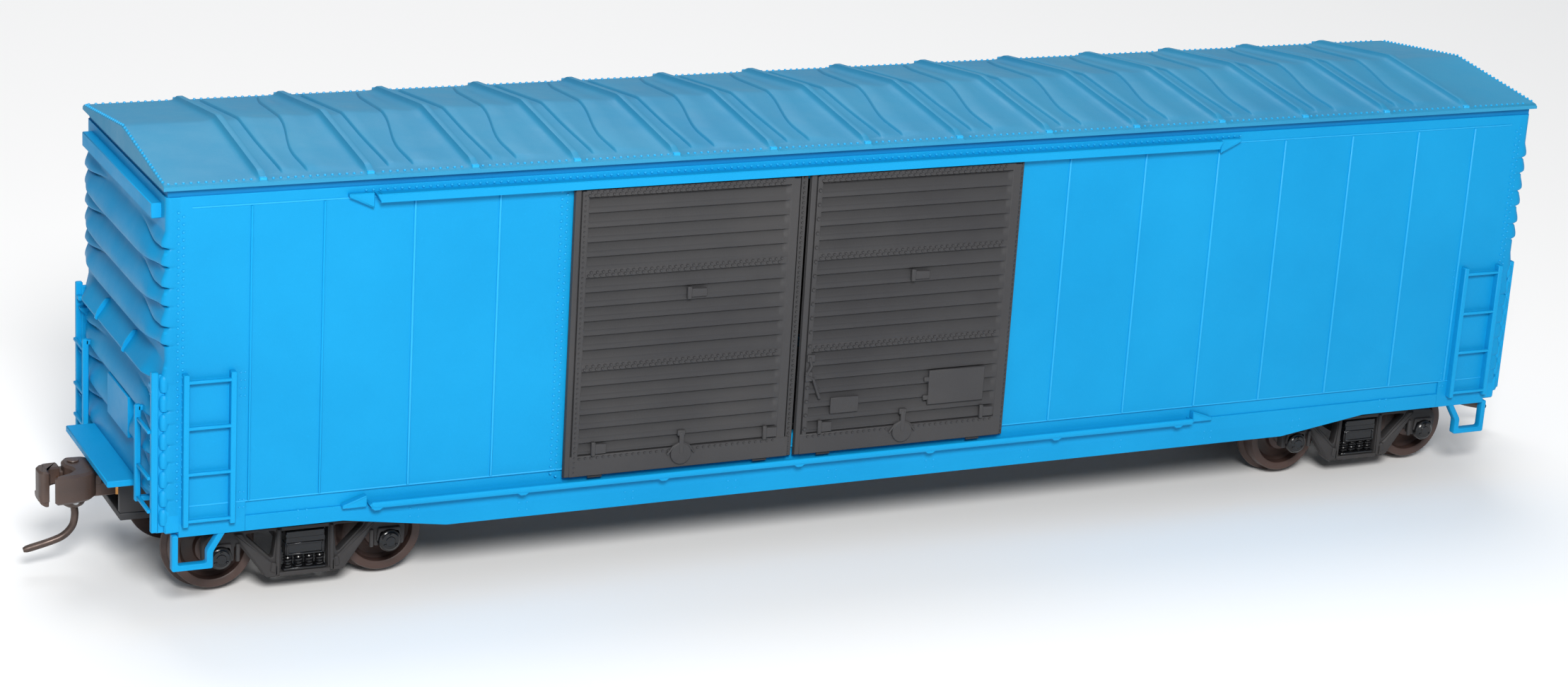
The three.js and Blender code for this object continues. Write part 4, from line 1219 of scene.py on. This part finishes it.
def build_underside():
    soften("underframe", "underframe_skin", UNDER, 0.12)
    soften("floor_weight", "weight_skin", STEEL, 0.15)
    for node in ("brake_cylinder", "air_reservoir", "control_valve", "brake_lever", "brake_rod"):
        soften(node, f"{node}_skin", UNDER, 0.1)
    for end in "ab":
        soften(f"coupler_box_{end}", f"box_skin_{end}", BOX_GREY, 0.12)
        soften(f"coupler_lid_{end}", f"lid_skin_{end}", BOX_GREY, 0.12)
        soften(f"coupler_screw_{end}", f"box_screw_skin_{end}", STEEL, 0.08)
        soften(f"centring_spring_{end}", f"spring_skin_{end}", BRONZE, 0.03)
    soften("brake_housing", "brake_housing_skin", BLUE, 0.2)


def build_brake_wheel():
    """A rim, a hub and six spokes on the hidden end."""
    lo, hi = node_box("brake_wheel")
    y, z, r = (lo[1] + hi[1]) / 2, (lo[2] + hi[2]) / 2, (hi[2] - lo[2]) / 2
    x = 91.75
    shape = Shape()
    shape.lathe([(r - 0.24 + 0.22 * math.cos(a), 0.22 * math.sin(a))
                 for a in np.linspace(0, 2 * math.pi, 9)[:-1]], (x, y, z), 0, 48)
    shape.lathe([(0, -0.4), (0.7, -0.4), (0.8, 0.1), (0.5, 0.34), (0, 0.34)], (x, y, z), 0, 24)
    for k in range(6):
        a = math.pi / 3 * k + 0.3
        shape.tube([(x + 0.1, y + 0.5 * math.cos(a), z + 0.5 * math.sin(a)),
                    (x, y + (r - 0.25) * math.cos(a), z + (r - 0.25) * math.sin(a))], 0.17, 8)
    shape.piece("brake_wheel_skin", BLUE, "carbody", ["brake_wheel"])


# ---- stage, light and camera ----


def build_stage():
    mesh = bpy.data.meshes.new("floor")
    size = 3.0
    mesh.from_pydata([(-size, -size, 0), (size, -size, 0), (size, size, 0), (-size, size, 0)], [],
                     [(0, 1, 2, 3)])
    mesh.materials.append(surface("floor_paper", Base_Color=grey(0.93), Roughness=0.9))
    placed("floor", mesh)


def area_light(name, location, target, size, power, color=(1, 1, 1)):
    data = bpy.data.lights.new(name, "AREA")
    data.shape = "DISK"
    data.size = size
    data.energy = power
    data.color = color
    light = placed(name, data)
    light.location = location
    aim = Vector(target) - Vector(location)
    light.rotation_euler = aim.to_track_quat("-Z", "Y").to_euler()


def build_lights():
    world = bpy.data.worlds.new("studio")
    world.use_nodes = True
    back = world.node_tree.nodes["Background"]
    back.inputs["Color"].default_value = (0.95, 0.97, 1.0, 1.0)
    back.inputs["Strength"].default_value = 0.34
    bpy.context.scene.world = world
    area_light("key", (-0.17, -0.44, 0.33), (-0.02, 0.0, 0.03), 0.16, 3.2, (1.0, 0.985, 0.96))
    area_light("top", (0.1, 0.5, 0.8), (0.0, 0.15, 0.0), 0.7, 3.9)


def build_camera():
    """The photo's point of view, fitted to the known sizes."""
    yaw, pitch, roll = (math.radians(a) for a in (-26.05, -18.17, 3.74))
    ahead = Vector((-math.sin(yaw) * math.cos(pitch), math.cos(yaw) * math.cos(pitch), math.sin(pitch)))
    level = ahead.cross(Vector((0, 0, 1))).normalized()
    upright = level.cross(ahead)
    right = level * math.cos(roll) + upright * math.sin(roll)
    up = upright * math.cos(roll) - level * math.sin(roll)
    data = bpy.data.cameras.new("camera")
    data.sensor_width = 36.0
    data.lens = 78.38
    data.clip_start = 0.01
    camera = placed("camera", data)
    turn = Matrix((right, up, -ahead)).transposed().to_4x4()
    camera.matrix_world = Matrix.Translation(Vector((-0.18124, -0.35718, 0.15088))) @ turn
    bpy.context.scene.camera = camera


def build_all():
    build_camera()
    build_stage()
    build_lights()
    build_roof()
    for side, end in (("left", "b"), ("right", "a")):
        build_side(side)
        build_end(end)
        build_platform(end)
        for kind in ("aux", "main"):
            build_door(kind, side)
    for end in "ab":
        build_bolster(end)
        build_truck_screw(end)
        for side in ("left", "right"):
            build_sideframe(end, side)
        for place in ("inner", "outer"):
            build_wheelset(end, place)
        build_coupler(end)
    build_underside()
    build_brake_wheel()


build_all()
bpy.context.scene.view_settings.view_transform = "Standard"
